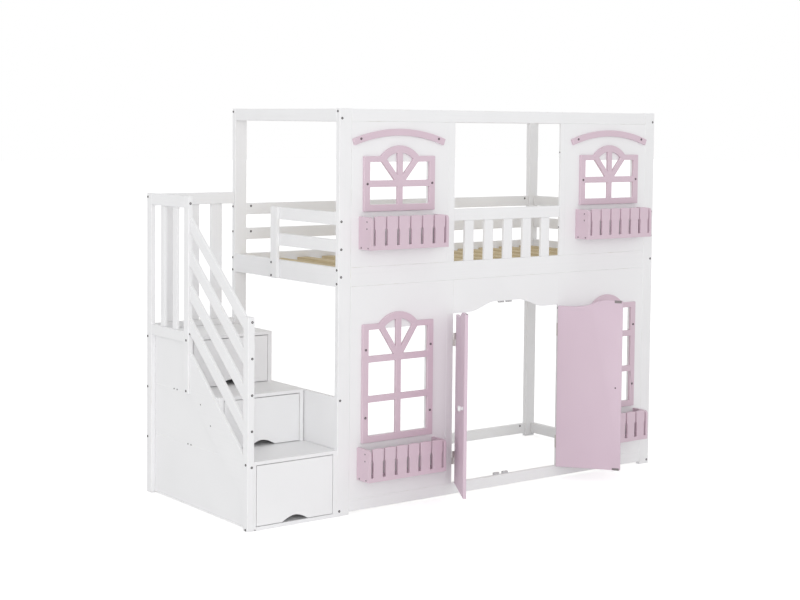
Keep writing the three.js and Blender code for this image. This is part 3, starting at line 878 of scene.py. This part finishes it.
@dataclass
class Fixings:
    """Bolts with a hexagon socket and countersunk screws, all set into the bed."""

    head: float = 5.6
    proud: float = 1.6
    socket: float = 2.6
    screw: float = 3.8

    def bolts(self, name: str, places: Places) -> None:
        """Sets flat round heads: a rim, a crown and a hexagon socket.

        Args:
            name: the name of the set.
            places: for each facing, the points where a head meets its board.
        """
        profile = [(self.head, -1.0), (self.head, self.proud * 0.5), (self.head * 0.88, self.proud * 0.95),
                   (self.socket * 1.3, self.proud), (self.socket, self.proud), (self.socket * 0.92, -0.6)]
        self.set_in(name, places, profile, 18, 4)

    def screws(self, name: str, places: Places) -> None:
        """Sets countersunk heads with the small crater that a driver leaves.

        Args:
            name: the name of the set.
            places: for each facing, the points where a head meets its board.
        """
        profile = [(self.screw, -1.0), (self.screw, 0.25), (self.screw * 0.8, 0.5), (self.screw * 0.4, 0.45),
                   (self.screw * 0.22, -0.5)]
        self.set_in(name, places, profile, 12)

    def set_in(self, name: str, places: Places, profile: list[tuple[float, float]], around: int,
               socket_from: int | None = None) -> None:
        """Makes one piece of all the heads of a set.

        Args:
            name: the name of the set.
            places: for each facing, the points where a head meets its board.
            profile: radius and height of each ring of a head.
            around: the number of points in a ring.
            socket_from: the first ring that is a hexagon, or none.
        """
        parts = [lathe(profile, spots, facing.value, around, socket_from) for facing, spots in places.items()]
        make_piece(name, together(*parts), BOLT_STEEL)


@dataclass
class BedFrame:
    """Posts, rails and end panel of the bed, with the bolts that hold them."""

    long: float = 2060.0
    wide: float = 950.0
    # Bolt heights of the end rails on the front posts' wide faces, and of the long rails on their narrow ones
    left_ends: tuple[float, ...] = (1850, 1374, 1245, 1117, 543, 25)
    right_ends: tuple[float, ...] = (1848, 1369, 1240, 1115, 20)
    front_longs: tuple[float, ...] = (1882, 1149, 1085)
    rear_longs: tuple[float, ...] = (1880, 1400, 1273, 1141, 1079)
    # How far in from the ends, the house front and the rear these bolts sit
    end_inset: float = 14.0
    front_inset: float = 15.0
    rear_inset: float = 8.0
    # Barrel nuts in the rear rails: how far in from each end, and how high
    nuts: tuple[tuple[float, float], ...] = ((97, 1401), (97, 1271), (109, 63))
    rail_thick: float = 24.0
    fixings: Fixings = field(default_factory=Fixings)

    def build(self) -> None:
        """Dresses the boards by the way their grain runs, and sets the bolts."""
        dress_boards({
            Grain.ALONG_Z: ("post_front_left", "post_front_right", "post_rear_left", "post_rear_right"),
            Grain.ALONG_X: ("top_rail_front", "top_rail_rear", "bed_rail_front", "bed_rail_rear",
                            "guard_rail_rear_lower", "guard_rail_rear_upper",
                            "threshold_front", "bottom_rail_rear"),
            Grain.ALONG_Y: ("top_rail_left", "top_rail_right", "bed_rail_left", "bed_rail_right",
                            "guard_rail_right_lower", "guard_rail_right_upper", "bottom_rail_right"),
        })
        dress("left_end_panel", WHITE_BOARD, WHITE_EDGE_HIGHLIGHT_AND_WEAR, END_PANEL_EASE)
        self.set_bolts()

    def set_bolts(self) -> None:
        """Sets the bolts of the four posts, the same at the rear as at the front, and the barrel nuts."""
        left, right = self.end_inset, self.long - self.end_inset
        near, far = self.front_inset, self.wide - self.rear_inset
        ends = [(left, z) for z in self.left_ends] + [(right, z) for z in self.right_ends]
        longs = [(near, z) for z in self.front_longs] + [(far, z) for z in self.rear_longs]
        self.fixings.bolts("post_bolts", {
            Facing.FRONT: [(x, 0, z) for x, z in ends],
            Facing.REAR: [(x, self.wide, z) for x, z in ends],
            Facing.LEFT: [(0, y, z) for y, z in longs],
            Facing.RIGHT: [(self.long, y, z) for y, z in longs],
        })
        inner = self.wide - self.rail_thick
        self.fixings.bolts("rail_barrel_nuts", {
            Facing.FRONT: [(x, inner, z) for side, z in self.nuts for x in (side, self.long - side)],
        })


@dataclass
class MattressFloor:
    """Bare pine slats on their ledgers, held at their pitch by two stapled tapes."""

    count: int = 13
    wide: float = 68.0
    thick: float = 18.0
    top: float = 1127.0
    first: float = 71.0
    last: float = 1921.0
    near: float = 27.0
    far: float = 923.0
    # Real slats are never quite alike: how far one may lie off its place, and be cut short at each end
    off_place: float = 1.5
    short: float = 1.0
    tape_wide: float = 24.0
    tape_thick: float = 1.6
    tape_inset: float = 170.0
    bed_wide: float = 950.0

    def build(self) -> None:
        """Makes the slats and the tapes that stand for the CAD's slat base."""
        start = np.linspace(self.first, self.last, self.count)
        rng = np.random.default_rng(11)
        shift = rng.uniform(-self.off_place, self.off_place, self.count - 2)
        start = start + np.concatenate([[0], shift, [0]])
        cut = rng.uniform(0, self.short, self.count)
        under = self.top - self.thick
        slats = np.empty((self.count, 2, 3))
        slats[:, :, 0] = np.stack([start, start + self.wide], axis=-1)
        slats[:, :, 1] = np.stack([self.near + cut, self.far - cut], axis=-1)
        slats[:, :, 2] = (under, self.top)
        make_piece("bare_pine_slats", boards(slats, seed=5), SLAT_PINE, replaces=("slat_base",))
        left, right = self.first + 1, self.last + self.wide - 1
        tapes = [((left, y, under - self.tape_thick), (right, y + self.tape_wide, under))
                 for y in (self.tape_inset, self.bed_wide - self.tape_inset - self.tape_wide)]
        make_piece("slat_tapes", boards(tapes, 0.7, 1), TAPE)


@dataclass
class Guards:
    """The guard of the house front and the short one beside the way in, each board by itself."""

    left: float = 682.5
    right: float = 1377.5
    pickets: int = 5
    picket_wide: float = 57.0
    picket_thick: float = 16.0
    picket_foot: float = 1160.0
    # Foot and head of the guards' top rail, and of the short guard's lower one
    rail: tuple[float, float] = (1358.0, 1416.0)
    low_rail: tuple[float, float] = (1231.0, 1289.0)
    rail_thick: float = 24.0
    post_thick: float = 28.0
    # The stile that is lapped over the short guard's ends, toward the stairs
    stile_ends: tuple[float, float] = (502.0, 560.0)
    stile_thick: float = 18.0
    stile_height: tuple[float, float] = (1071.0, 1420.0)

    def build(self) -> None:
        """Makes the rails, the pickets and the stile with its bolts."""
        foot, head = self.rail
        white_boards("front_guard_rail", [((self.left, 0, foot), (self.right, self.rail_thick, head))],
                     Grain.ALONG_X, ("front_guard",))
        pickets = uprights(0, (self.left, self.right), self.pickets, self.picket_wide,
                           (0, self.picket_thick), (self.picket_foot, foot))
        white_boards("front_guard_pickets", pickets, Grain.ALONG_Z)
        near, far = self.stile_ends
        rails = [((0, self.post_thick, low), (self.post_thick, far, high))
                 for low, high in (self.low_rail, self.rail)]
        white_boards("entry_guard_rails", rails, Grain.ALONG_Y, ("entry_guard",))
        low, high = self.stile_height
        white_boards("entry_guard_stile", [((-self.stile_thick, near, low), (0, far, high))], Grain.ALONG_Z)
        Fixings().bolts("entry_guard_bolts", {
            Facing.LEFT: [(-self.stile_thick, far - 10, z) for z in (1147, 1084)],
        })


@dataclass
class HouseFront:
    """Panels, header, window frames, trims and flower boxes of the house front."""

    middle: float = 1030.0
    axis: float = 341.25
    frame_face: float = -14.0
    jamb: float = 682.5
    strip: float = 40.0
    strip_proud: float = 1.0
    bed_top: float = 1160.0
    rail_foot: float = 1836.0
    sill: float = 70.0
    header_foot: float = 906.0
    # Bolts of the window frames and of the curved trim: how far from the window's middle, and how high
    frame_bolts: tuple[tuple[float, float], ...] = ((191, 1546), (192, 770), (192, 450), (229, 1756))
    jamb_screws: tuple[float, ...] = (1689, 1305, 889)
    top_screw: Triple = (662.0, 12.0, 1894.0)
    # Flower boxes: their top edges, half their length, and the screws of their ends, from the top edge
    box_tops: tuple[float, float] = (1400.5, 319.0)
    box_half: float = 230.0
    box_screws: tuple[tuple[float, float], ...] = ((-66, -27), (-66, -60), (-22, -149), (-76, -149))
    catch_half: float = 17.0
    catch_near: float = 17.6
    catch_deep: float = 14.0
    # Where the plates of the catches meet the header, and their feet the threshold
    header_back: float = 12.0
    threshold_back: float = 24.0
    # Behind the header: the foot of a block, the foot of its plate, and the head of both
    header_levels: Triple = (938.0, 952.0, 976.0)
    header_catches: tuple[float, float] = (1010.0, 1061.0)
    threshold_catches: tuple[float, float] = (992.0, 1050.0)
    fixings: Fixings = field(default_factory=Fixings)

    def build(self) -> None:
        """Dresses the routed parts and sets their screws."""
        for side in ("left", "right"):
            for level in ("upper", "lower"):
                dress(f"facade_{level}_{side}", WHITE_BOARD, WHITE_EDGE_HIGHLIGHT_AND_WEAR, PANEL_EASE)
                dress(f"window_{level}_{side}", PINK_BOARD, PINK_EDGE_HIGHLIGHT_AND_WEAR, TRIM_EASE, clamp=False)
                dress(f"planter_{level}_{side}", PINK_BOARD, PINK_EDGE_HIGHLIGHT_AND_WEAR, PANEL_EASE)
            dress(f"arch_{side}", PINK_BOARD, PINK_EDGE_HIGHLIGHT_AND_WEAR, TRIM_EASE)
        dress("door_header", WHITE_BOARD, WHITE_EDGE_HIGHLIGHT_AND_WEAR, HEADER_EASE)
        self.trim_jambs()
        self.set_screws()
        self.set_catches()

    def across(self, x: float) -> float:
        """X of the same place on the other side of the house front's middle."""
        return 2 * self.middle - x

    def trim_jambs(self) -> None:
        """Makes the flat strips that stand a little proud of the panels on both sides of the doorway."""
        outer = self.jamb - self.strip
        strips = [((left, -self.strip_proud, foot), (right, self.strip_proud, head))
                  for left, right in ((outer, self.jamb), (self.across(self.jamb), self.across(outer)))
                  for foot, head in ((self.bed_top, self.rail_foot), (self.sill, self.header_foot))]
        make_piece("jamb_strips", boards(strips, 0.7, 2, 23), WHITE[Grain.ALONG_Z])

    def set_catches(self) -> None:
        """Makes the magnetic catches behind the header and on the threshold, with their steel lips.

        Each is a block that stands behind the closed door and a foot that reaches forward or down to what it
        is screwed to.
        """
        near, far = self.catch_near, self.catch_near + self.catch_deep
        foot, plate, head = self.header_levels
        half, sill = self.catch_half, self.sill
        blocks = []
        for x in self.header_catches:
            blocks += [((x - half, near, foot), (x + half, far, head)),
                       ((x - half, self.header_back, plate), (x + half, near + 2, head))]
        for x in self.threshold_catches:
            blocks += [((x - half, near, sill), (x + half, far, sill + 10)),
                       ((x - half, self.threshold_back, sill - 21), (x + half, far, sill + 1))]
        levels = [(x, foot + 1.5) for x in self.header_catches]
        levels += [(x, sill + 6) for x in self.threshold_catches]
        lips = [((x - half + 3, near - 0.4, z), (x + half - 3, near + 1, z + 2)) for x, z in levels]
        make_piece("catch_blocks", boards(blocks, 1.4, 2, 29), CATCH_PLASTIC_IN_PAINTED_SHADE)
        make_piece("catch_lips", boards(lips, 0.3, 1, 31), HINGE_STEEL)

    def set_screws(self) -> None:
        """Sets the bolts of the frames and the trims, and the screws of the jambs and the flower boxes."""
        axes = (self.axis, self.across(self.axis))
        self.fixings.bolts("window_and_trim_bolts", {
            Facing.FRONT: [(axis + side * x, self.frame_face, z)
                           for axis in axes for x, z in self.frame_bolts for side in (-1, 1)],
        })
        x, y, top = self.top_screw
        self.fixings.screws("jamb_screws", {
            Facing.UP: [(x, y, top), (self.across(x), y, top)],
            Facing.LEFT: [(self.across(self.jamb), 6, z) for z in self.jamb_screws],
            Facing.RIGHT: [(self.jamb, 6, z) for z in self.jamb_screws],
        })
        ends = [(y, top + z) for top in self.box_tops for y, z in self.box_screws]
        self.fixings.screws("flower_box_screws", {
            Facing.LEFT: [(axis - self.box_half, y, z) for axis in axes for y, z in ends],
            Facing.RIGHT: [(axis + self.box_half, y, z) for axis in axes for y, z in ends],
        })


@dataclass
class Door:
    """One leaf of the play house's door, drawn closed and then swung open round its pin."""

    name: str
    mirror: bool
    open: float
    jamb: float = 682.5
    middle: float = 1030.0
    gap: float = 3.0
    # The gap between the closed leaves, read off the open ones
    meeting: float = 28.0
    bottom: float = 72.0
    thick: float = 16.0
    pin_y: float = -7.0
    top_side: float = 903.0
    top_mid: float = 941.0
    side_run: float = 107.5
    mid_half: float = 95.0
    hinges: tuple[float, float] = (779.0, 197.0)
    barrel: float = 4.5
    hinge_half: float = 33.0
    plate_thick: float = 1.3
    # How far back the plates on the jamb reach
    jamb_plate: float = 11.0
    # The hinges' screws: how far from the plates' back edge, and how high from their middle
    screw_inset: float = 5.0
    screw_heights: Triple = (-22.0, 0.0, 22.0)
    knob_at: tuple[float, float] = (985.5, 495.0)
    strike_half: float = 18.0
    strike_at: float = 993.0

    @property
    def pin(self) -> float:
        """X of the hinge pin, one gap away from the jamb."""
        return self.jamb + self.gap

    def outline(self) -> np.ndarray:
        """The leaf's outline.

        Its top is level at the side, rises by a half cosine wave, and is level again where the leaves meet.

        Returns:
            X and Z of the corners, against the clock seen from the front.
        """
        left, right = self.pin, self.middle - self.meeting / 2
        wave_end, wave_start = self.middle - self.mid_half, self.jamb + self.side_run
        x = np.concatenate([[right], np.linspace(wave_end, wave_start, 17), [left]])
        share = np.clip((self.middle - x - self.mid_half) / (wave_end - wave_start), 0, 1)
        z = self.top_mid - (self.top_mid - self.top_side) * (1 - np.cos(np.pi * share)) / 2
        top = np.stack([x, z], axis=-1)
        return np.concatenate([[[left, self.bottom], [right, self.bottom]], top])

    def add(self, part: str, surface: Surface, finish: Finish, replaces: tuple[str, ...] = (),
            smooth: float = SMOOTH_UNDER) -> None:
        """Mirrors a part if it is the right leaf's, swings it open, and makes it a piece of the leaf.

        Args:
            part: what the piece is, which follows the leaf's name in its own.
            surface: its surface on the closed left leaf.
            finish: what it is made of.
            replaces: the CAD nodes that it stands for.
            smooth: edges sharper than this many degrees stay sharp.
        """
        if self.mirror:
            pin = (2 * self.middle - self.pin, self.pin_y)
            placed = surface.mirrored(self.middle).turned(pin, self.open)
        else:
            placed = surface.turned((self.pin, self.pin_y), -self.open)
        make_piece(f"{self.name}_{part}", placed, finish, self.name, replaces, smooth)

    def build(self) -> None:
        """Makes the leaf, the knob, the halves of the hinges and the screws."""
        self.add("leaf", slab(self.outline(), 0, self.thick, 2.0), DOOR_BOARD, (self.name,))
        x, z = self.knob_at
        knob = [(9.5, 0.4), (9.2, -1.5), (7.6, -3.2), (7.0, -6.0), (8.0, -9.5), (11.0, -12.0), (13.4, -15.2),
                (14.0, -18.4), (13.2, -21.6), (10.8, -24.0), (7.0, -25.5), (2.5, -26.0)]
        turned = lathe([(radius, -height) for radius, height in knob], [(x, 0, z)], Facing.FRONT.value, 32)
        self.add("knob", turned, WHITE[Grain.ALONG_Y], smooth=60)
        back = [(3.8, -0.5), (3.8, 0.6), (2.6, 1.2), (1.4, 1.3), (1.0, 0.4)]
        self.add("knob_screw", lathe(back, [(x, self.thick, z)], Facing.REAR.value, 16), BOLT_STEEL)
        self.add("hinge_halves", self.hinge(1), HINGE_STEEL)
        self.add("strike_plates", self.strikes(), STRIKE_STEEL)
        side = "right" if self.mirror else "left"
        fixed = self.hinge(-1).mirrored(self.middle) if self.mirror else self.hinge(-1)
        nodes = (f"hinge_{side}_upper", f"hinge_{side}_lower")
        make_piece(f"hinges_{side}", fixed, HINGE_STEEL, replaces=nodes)

    def strikes(self) -> Surface:
        """Bent plates that the catches hold, one over the leaf's top edge and one under its bottom edge.

        Returns:
            The two faces of each plate as boards, on the closed left leaf.
        """
        left, right = self.strike_at - self.strike_half, self.strike_at + self.strike_half
        face, back = self.thick - 0.3, self.thick + 0.9
        plates = boards([
            ((left, face, self.top_mid - 12), (right, back, self.top_mid + 0.8)),
            ((left, back - 8, self.top_mid - 0.3), (right, back, self.top_mid + 0.8)),
            ((left, face, self.bottom - 0.8), (right, back, self.bottom + 11)),
            ((left, back - 8, self.bottom - 0.8), (right, back, self.bottom + 0.3)),
        ], 0.4, 1, 37)
        # Thin sheet has crisp edges, so its shading is left to the angles between its faces
        plates.normals = None
        return plates

    def hinge(self, side: int) -> Surface:
        """Both hinges' halves on one side of the pin.

        They are butt hinges: each plate lies on an edge, in the gap between the leaf and the jamb.

        Args:
            side: 1 for the plates on the leaf, with the upper barrel, and -1 for those on the jamb.

        Returns:
            Plates, barrels and screw heads as one surface.
        """
        wood = self.pin if side > 0 else self.jamb
        face = wood - side * self.plate_thick
        near, far = sorted((wood, face))
        reach = self.thick - 2 if side > 0 else self.jamb_plate
        half, ring = self.hinge_half, self.barrel
        foot, head = (0.3, half) if side > 0 else (-half, 0.0)
        boxes = [((near, -1, z - half), (far, reach, z + half)) for z in self.hinges]
        boxes += [((near, self.pin_y + 1, z + foot), (far, 1, z + head)) for z in self.hinges]
        tall = head - foot
        profile = [(ring - 0.6, 0.0), (ring, 0.6), (ring, tall / 2 - 0.4), (ring - 0.5, tall / 2),
                   (ring, tall / 2 + 0.4), (ring, tall - 0.6), (ring - 0.6, tall)]
        barrels = lathe(profile, [(self.pin, self.pin_y, z + foot) for z in self.hinges], Facing.UP.value)
        spots = [(face, reach - self.screw_inset, z + dz) for z in self.hinges for dz in self.screw_heights]
        head_profile = [(2.8, -0.4), (2.8, 0.06), (2.2, 0.12), (1.0, 0.1), (0.7, -0.3)]
        screws = lathe(head_profile, spots, (-side, 0, 0), 14)
        return together(boards(boxes, 0.5, 1), barrels, screws)


@dataclass
class Stairs:
    """The box stairs with their guards, handrails and three drawers."""

    outer: float = -484.0
    # The inner face of the side guard's boards, in line with the outer face of the side panels
    inner: float = -461.0
    # Foot and head of the upper and the lower rail of each guard
    side_rails: tuple[tuple[float, float], ...] = ((1422, 1478), (785, 836))
    rear_rails: tuple[tuple[float, float], ...] = ((1416, 1474), (806, 836))
    # The side guard runs from the middle post to the rear one
    side_ends: tuple[float, float] = (584.0, 905.0)
    side_upright: float = 40.0
    rear_upright: float = 64.0
    upright_thick: float = 15.0
    rear: float = 950.0
    rear_rail_thick: float = 24.0
    fixings: Fixings = field(default_factory=Fixings)

    def build(self) -> None:
        """Dresses the boards, makes the slatted guards and sets the bolts."""
        dress_boards({
            Grain.ALONG_Z: ("stair_post_front", "stair_post_mid", "stair_post_rear"),
            Grain.ALONG_Y: ("stair_rail_1", "stair_rail_2", "stair_rail_3", "stair_rail_4", "stair_stringer"),
        })
        for node in ("stair_carcass", "stair_side_left", "drawer_1", "drawer_2", "drawer_3"):
            dress(node, WHITE_BOARD, WHITE_EDGE_HIGHLIGHT_AND_WEAR, PANEL_EASE)
        self.guards()
        self.set_bolts()

    def guards(self) -> None:
        """Makes the slatted guards: one beside the platform with two uprights, and one behind with three."""
        near, far = self.side_ends
        rails = [((self.outer, near, foot), (self.inner, far, head)) for foot, head in self.side_rails]
        between = (self.side_rails[1][1], self.side_rails[0][0])
        depth = (self.inner - self.upright_thick, self.inner)
        white_boards("stair_side_guard_rails", rails, Grain.ALONG_Y, ("stair_guard_left",))
        white_boards("stair_side_guard_uprights",
                     uprights(1, (near, far), 2, self.side_upright, depth, between), Grain.ALONG_Z)
        front = self.rear - self.rear_rail_thick
        rails = [((self.inner, front, foot), (0, self.rear, head)) for foot, head in self.rear_rails]
        between = (self.rear_rails[1][1], self.rear_rails[0][0])
        depth = (self.rear - self.upright_thick, self.rear)
        white_boards("stair_rear_guard_rails", rails, Grain.ALONG_X, ("stair_guard_rear",))
        white_boards("stair_rear_guard_uprights",
                     uprights(0, (self.inner, 0), 3, self.rear_upright, depth, between), Grain.ALONG_Z)

    def set_bolts(self) -> None:
        """Sets bolts into the stair posts, and screws into the side panels and the stringer."""
        outer = self.outer
        self.fixings.bolts("stair_bolts", {
            Facing.FRONT: [(-463, 0, z) for z in (941, 778, 614, 452, 290)]
            + [(-473, 539, z) for z in (1444, 829)],
            Facing.LEFT: [(outer, 17, 301), (outer, 18, 8), (outer, 559, 797), (outer, 559, 556)]
            + [(outer, 940, z) for z in (1459, 774, 525, 277)],
        })
        self.fixings.screws("stair_screws", {
            Facing.LEFT: [(self.inner, y, z) for y, z in ((716, 543), (686, 543), (579, 298), (550, 298))]
            + [(-476, y, z) for y, z in ((435, 509), (343, 423))],
        })


@dataclass(frozen=True)
class Softbox:
    """A square soft lamp: where it hangs and how wide it is, in metres, and its power in watts."""

    name: str
    spot: Triple
    wide: float
    power: float


def posed(right: np.ndarray, up: np.ndarray, back: np.ndarray, spot: np.ndarray) -> Matrix:
    """Puts the matrix of a lamp or a camera together.

    Args:
        right: its own X axis.
        up: its own Y axis.
        back: its own Z axis, away from what it looks at.
        spot: its place, in metres.

    Returns:
        The matrix.
    """
    pose = np.eye(4)
    pose[:3] = np.stack([right, up, back, spot], axis=-1)
    return Matrix(pose.tolist())


@dataclass
class Studio:
    """White floor, soft light and the camera at the photograph's place.

    The focal length and the picture's centre are in pixels of the photograph, the place in millimetres and
    the angles in radians.
    """

    focal: float = 1548.916
    place: Triple = (-4064.14, -5830.44, 1822.55)
    yaw: float = -0.641935
    pitch: float = -0.054886
    roll: float = -0.009639
    centre: tuple[float, float] = (390.428, 209.696)
    frame_size: tuple[float, float] = (800.0, 600.0)
    # Any sensor would do; the lens follows from it
    sensor: float = 36.0
    # Everything from here on is in metres
    sight: float = 200.0
    floor_half: float = 60.0
    aim: Triple = (0.0, 0.0, 0.9)
    floor_lift: float = 0.5
    horizon: float = 0.84
    zenith: float = 0.68
    lamps: tuple[Softbox, ...] = (
        Softbox("softbox_behind_camera", (-8.5, -14.8, 4.4), 7.0, 410.0),
        Softbox("softbox_low", (-8.0, -15.0, 1.4), 6.0, 250.0),
        Softbox("softbox_left", (-7.0, -2.6, 2.2), 4.0, 38.0),
    )

    def build(self) -> None:
        """Makes the floor, the lamps, the world and the camera."""
        self.floor()
        self.world()
        for lamp in self.lamps:
            self.hang(lamp)
        self.camera()

    def camera(self) -> None:
        """Sets the camera from the fitted place, turn, focal length and picture centre."""
        cos_yaw, sin_yaw = math.cos(self.yaw), math.sin(self.yaw)
        cos_pitch, sin_pitch = math.cos(self.pitch), math.sin(self.pitch)
        cos_roll, sin_roll = math.cos(self.roll), math.sin(self.roll)
        ahead = np.array([-sin_yaw * cos_pitch, cos_yaw * cos_pitch, sin_pitch])
        right = np.array([cos_yaw, sin_yaw, 0.0])
        down = np.cross(ahead, right)
        data = bpy.data.cameras.new("camera")
        wide, tall = self.frame_size
        data.sensor_width = self.sensor
        data.lens = self.sensor * self.focal / wide
        data.shift_x = (wide / 2 - self.centre[0]) / wide
        data.shift_y = (self.centre[1] - tall / 2) / wide
        data.clip_end = self.sight
        made = add_object("camera", data)
        across, up = cos_roll * right + sin_roll * down, sin_roll * right - cos_roll * down
        made.matrix_world = posed(across, up, -ahead, np.array(self.place) * MM + PLACE)
        bpy.context.scene.camera = made

    def floor(self) -> None:
        """Lays a wide white floor that keeps the shadow of the bed."""
        half = self.floor_half
        mesh = bpy.data.meshes.new("floor")
        corners = [(-half, -half, 0), (half, -half, 0), (half, half, 0), (-half, half, 0)]
        mesh.from_pydata(corners, [], [(0, 1, 2, 3)])
        made = bpy.data.materials.new("white_studio_floor")
        tree = empty_tree(made)
        path = add_node(tree, "ShaderNodeLightPath")
        paper = add_node(tree, "ShaderNodeBsdfDiffuse", inputs={"Color": linear("#f4f4f4")})
        # The floor glows a little for the camera alone, as the photograph's floor is lifted to white
        lift = add_node(tree, "ShaderNodeMath", {"operation": "MULTIPLY"},
                        {0: path.outputs["Is Camera Ray"], 1: self.floor_lift})
        glow = add_node(tree, "ShaderNodeEmission", inputs={"Strength": lift.outputs["Value"]})
        both = add_node(tree, "ShaderNodeAddShader", inputs={
            0: paper.outputs["BSDF"], 1: glow.outputs["Emission"]})
        add_node(tree, "ShaderNodeOutputMaterial", inputs={"Surface": both.outputs["Shader"]})
        mesh.materials.append(made)
        add_object("floor", mesh)

    def world(self) -> None:
        """Sets a white surround: full white to the camera and in reflections, and softer as light.

        As light it fades evenly with height, from its value at the horizon to the one overhead, because a
        studio's walls are lit and its ceiling isn't.
        """
        world = bpy.data.worlds.new("white_surround")
        bpy.context.scene.world = world
        tree = empty_tree(world)
        way = add_node(tree, "ShaderNodeTexCoord").outputs["Generated"]
        height = add_node(tree, "ShaderNodeSeparateXYZ", inputs={"Vector": way}).outputs["Z"]
        light = add_node(tree, "ShaderNodeMapRange", inputs={
            "Value": height, "To Min": self.horizon, "To Max": self.zenith}).outputs["Result"]
        path = add_node(tree, "ShaderNodeLightPath")
        seen = add_node(tree, "ShaderNodeMath", {"operation": "MAXIMUM"},
                        {0: path.outputs["Is Camera Ray"], 1: path.outputs["Is Glossy Ray"]}).outputs["Value"]
        strength = add_node(tree, "ShaderNodeMapRange", inputs={
            "Value": seen, "To Min": light, "To Max": 1.0})
        back = add_node(tree, "ShaderNodeBackground", inputs={
            "Color": (1.0, 1.0, 1.0, 1.0), "Strength": strength.outputs["Result"]})
        add_node(tree, "ShaderNodeOutputWorld", inputs={"Surface": back.outputs["Background"]})
        bpy.context.scene.view_settings.view_transform = "Standard"

    def hang(self, lamp: Softbox) -> None:
        """Hangs a soft lamp that looks at the middle of the bed.

        Args:
            lamp: the lamp's place, size and power.
        """
        data = bpy.data.lights.new(lamp.name, "AREA")
        data.shape = "SQUARE"
        data.size = lamp.wide
        data.energy = lamp.power
        ahead = np.array(self.aim) - np.array(lamp.spot)
        ahead /= np.linalg.norm(ahead)
        side = np.cross(ahead, [0, 0, 1.0])
        side /= np.linalg.norm(side)
        made = add_object(lamp.name, data)
        made.matrix_world = posed(side, np.cross(side, ahead), -ahead, np.array(lamp.spot))


def main() -> None:
    """Builds the bed's assemblies in order, then the studio."""
    logging.basicConfig(level=logging.INFO, format="%(name)s: %(message)s")
    assemblies = [
        BedFrame(),
        MattressFloor(),
        Guards(),
        HouseFront(),
        Door("door_left", False, 122.0),
        Door("door_right", True, 128.0),
        Stairs(),
        Studio(),
    ]
    for assembly in assemblies:
        assembly.build()
        LOG.info("built %s", type(assembly).__name__)
    bpy.context.view_layer.update()


if __name__ == "__main__":
    main()
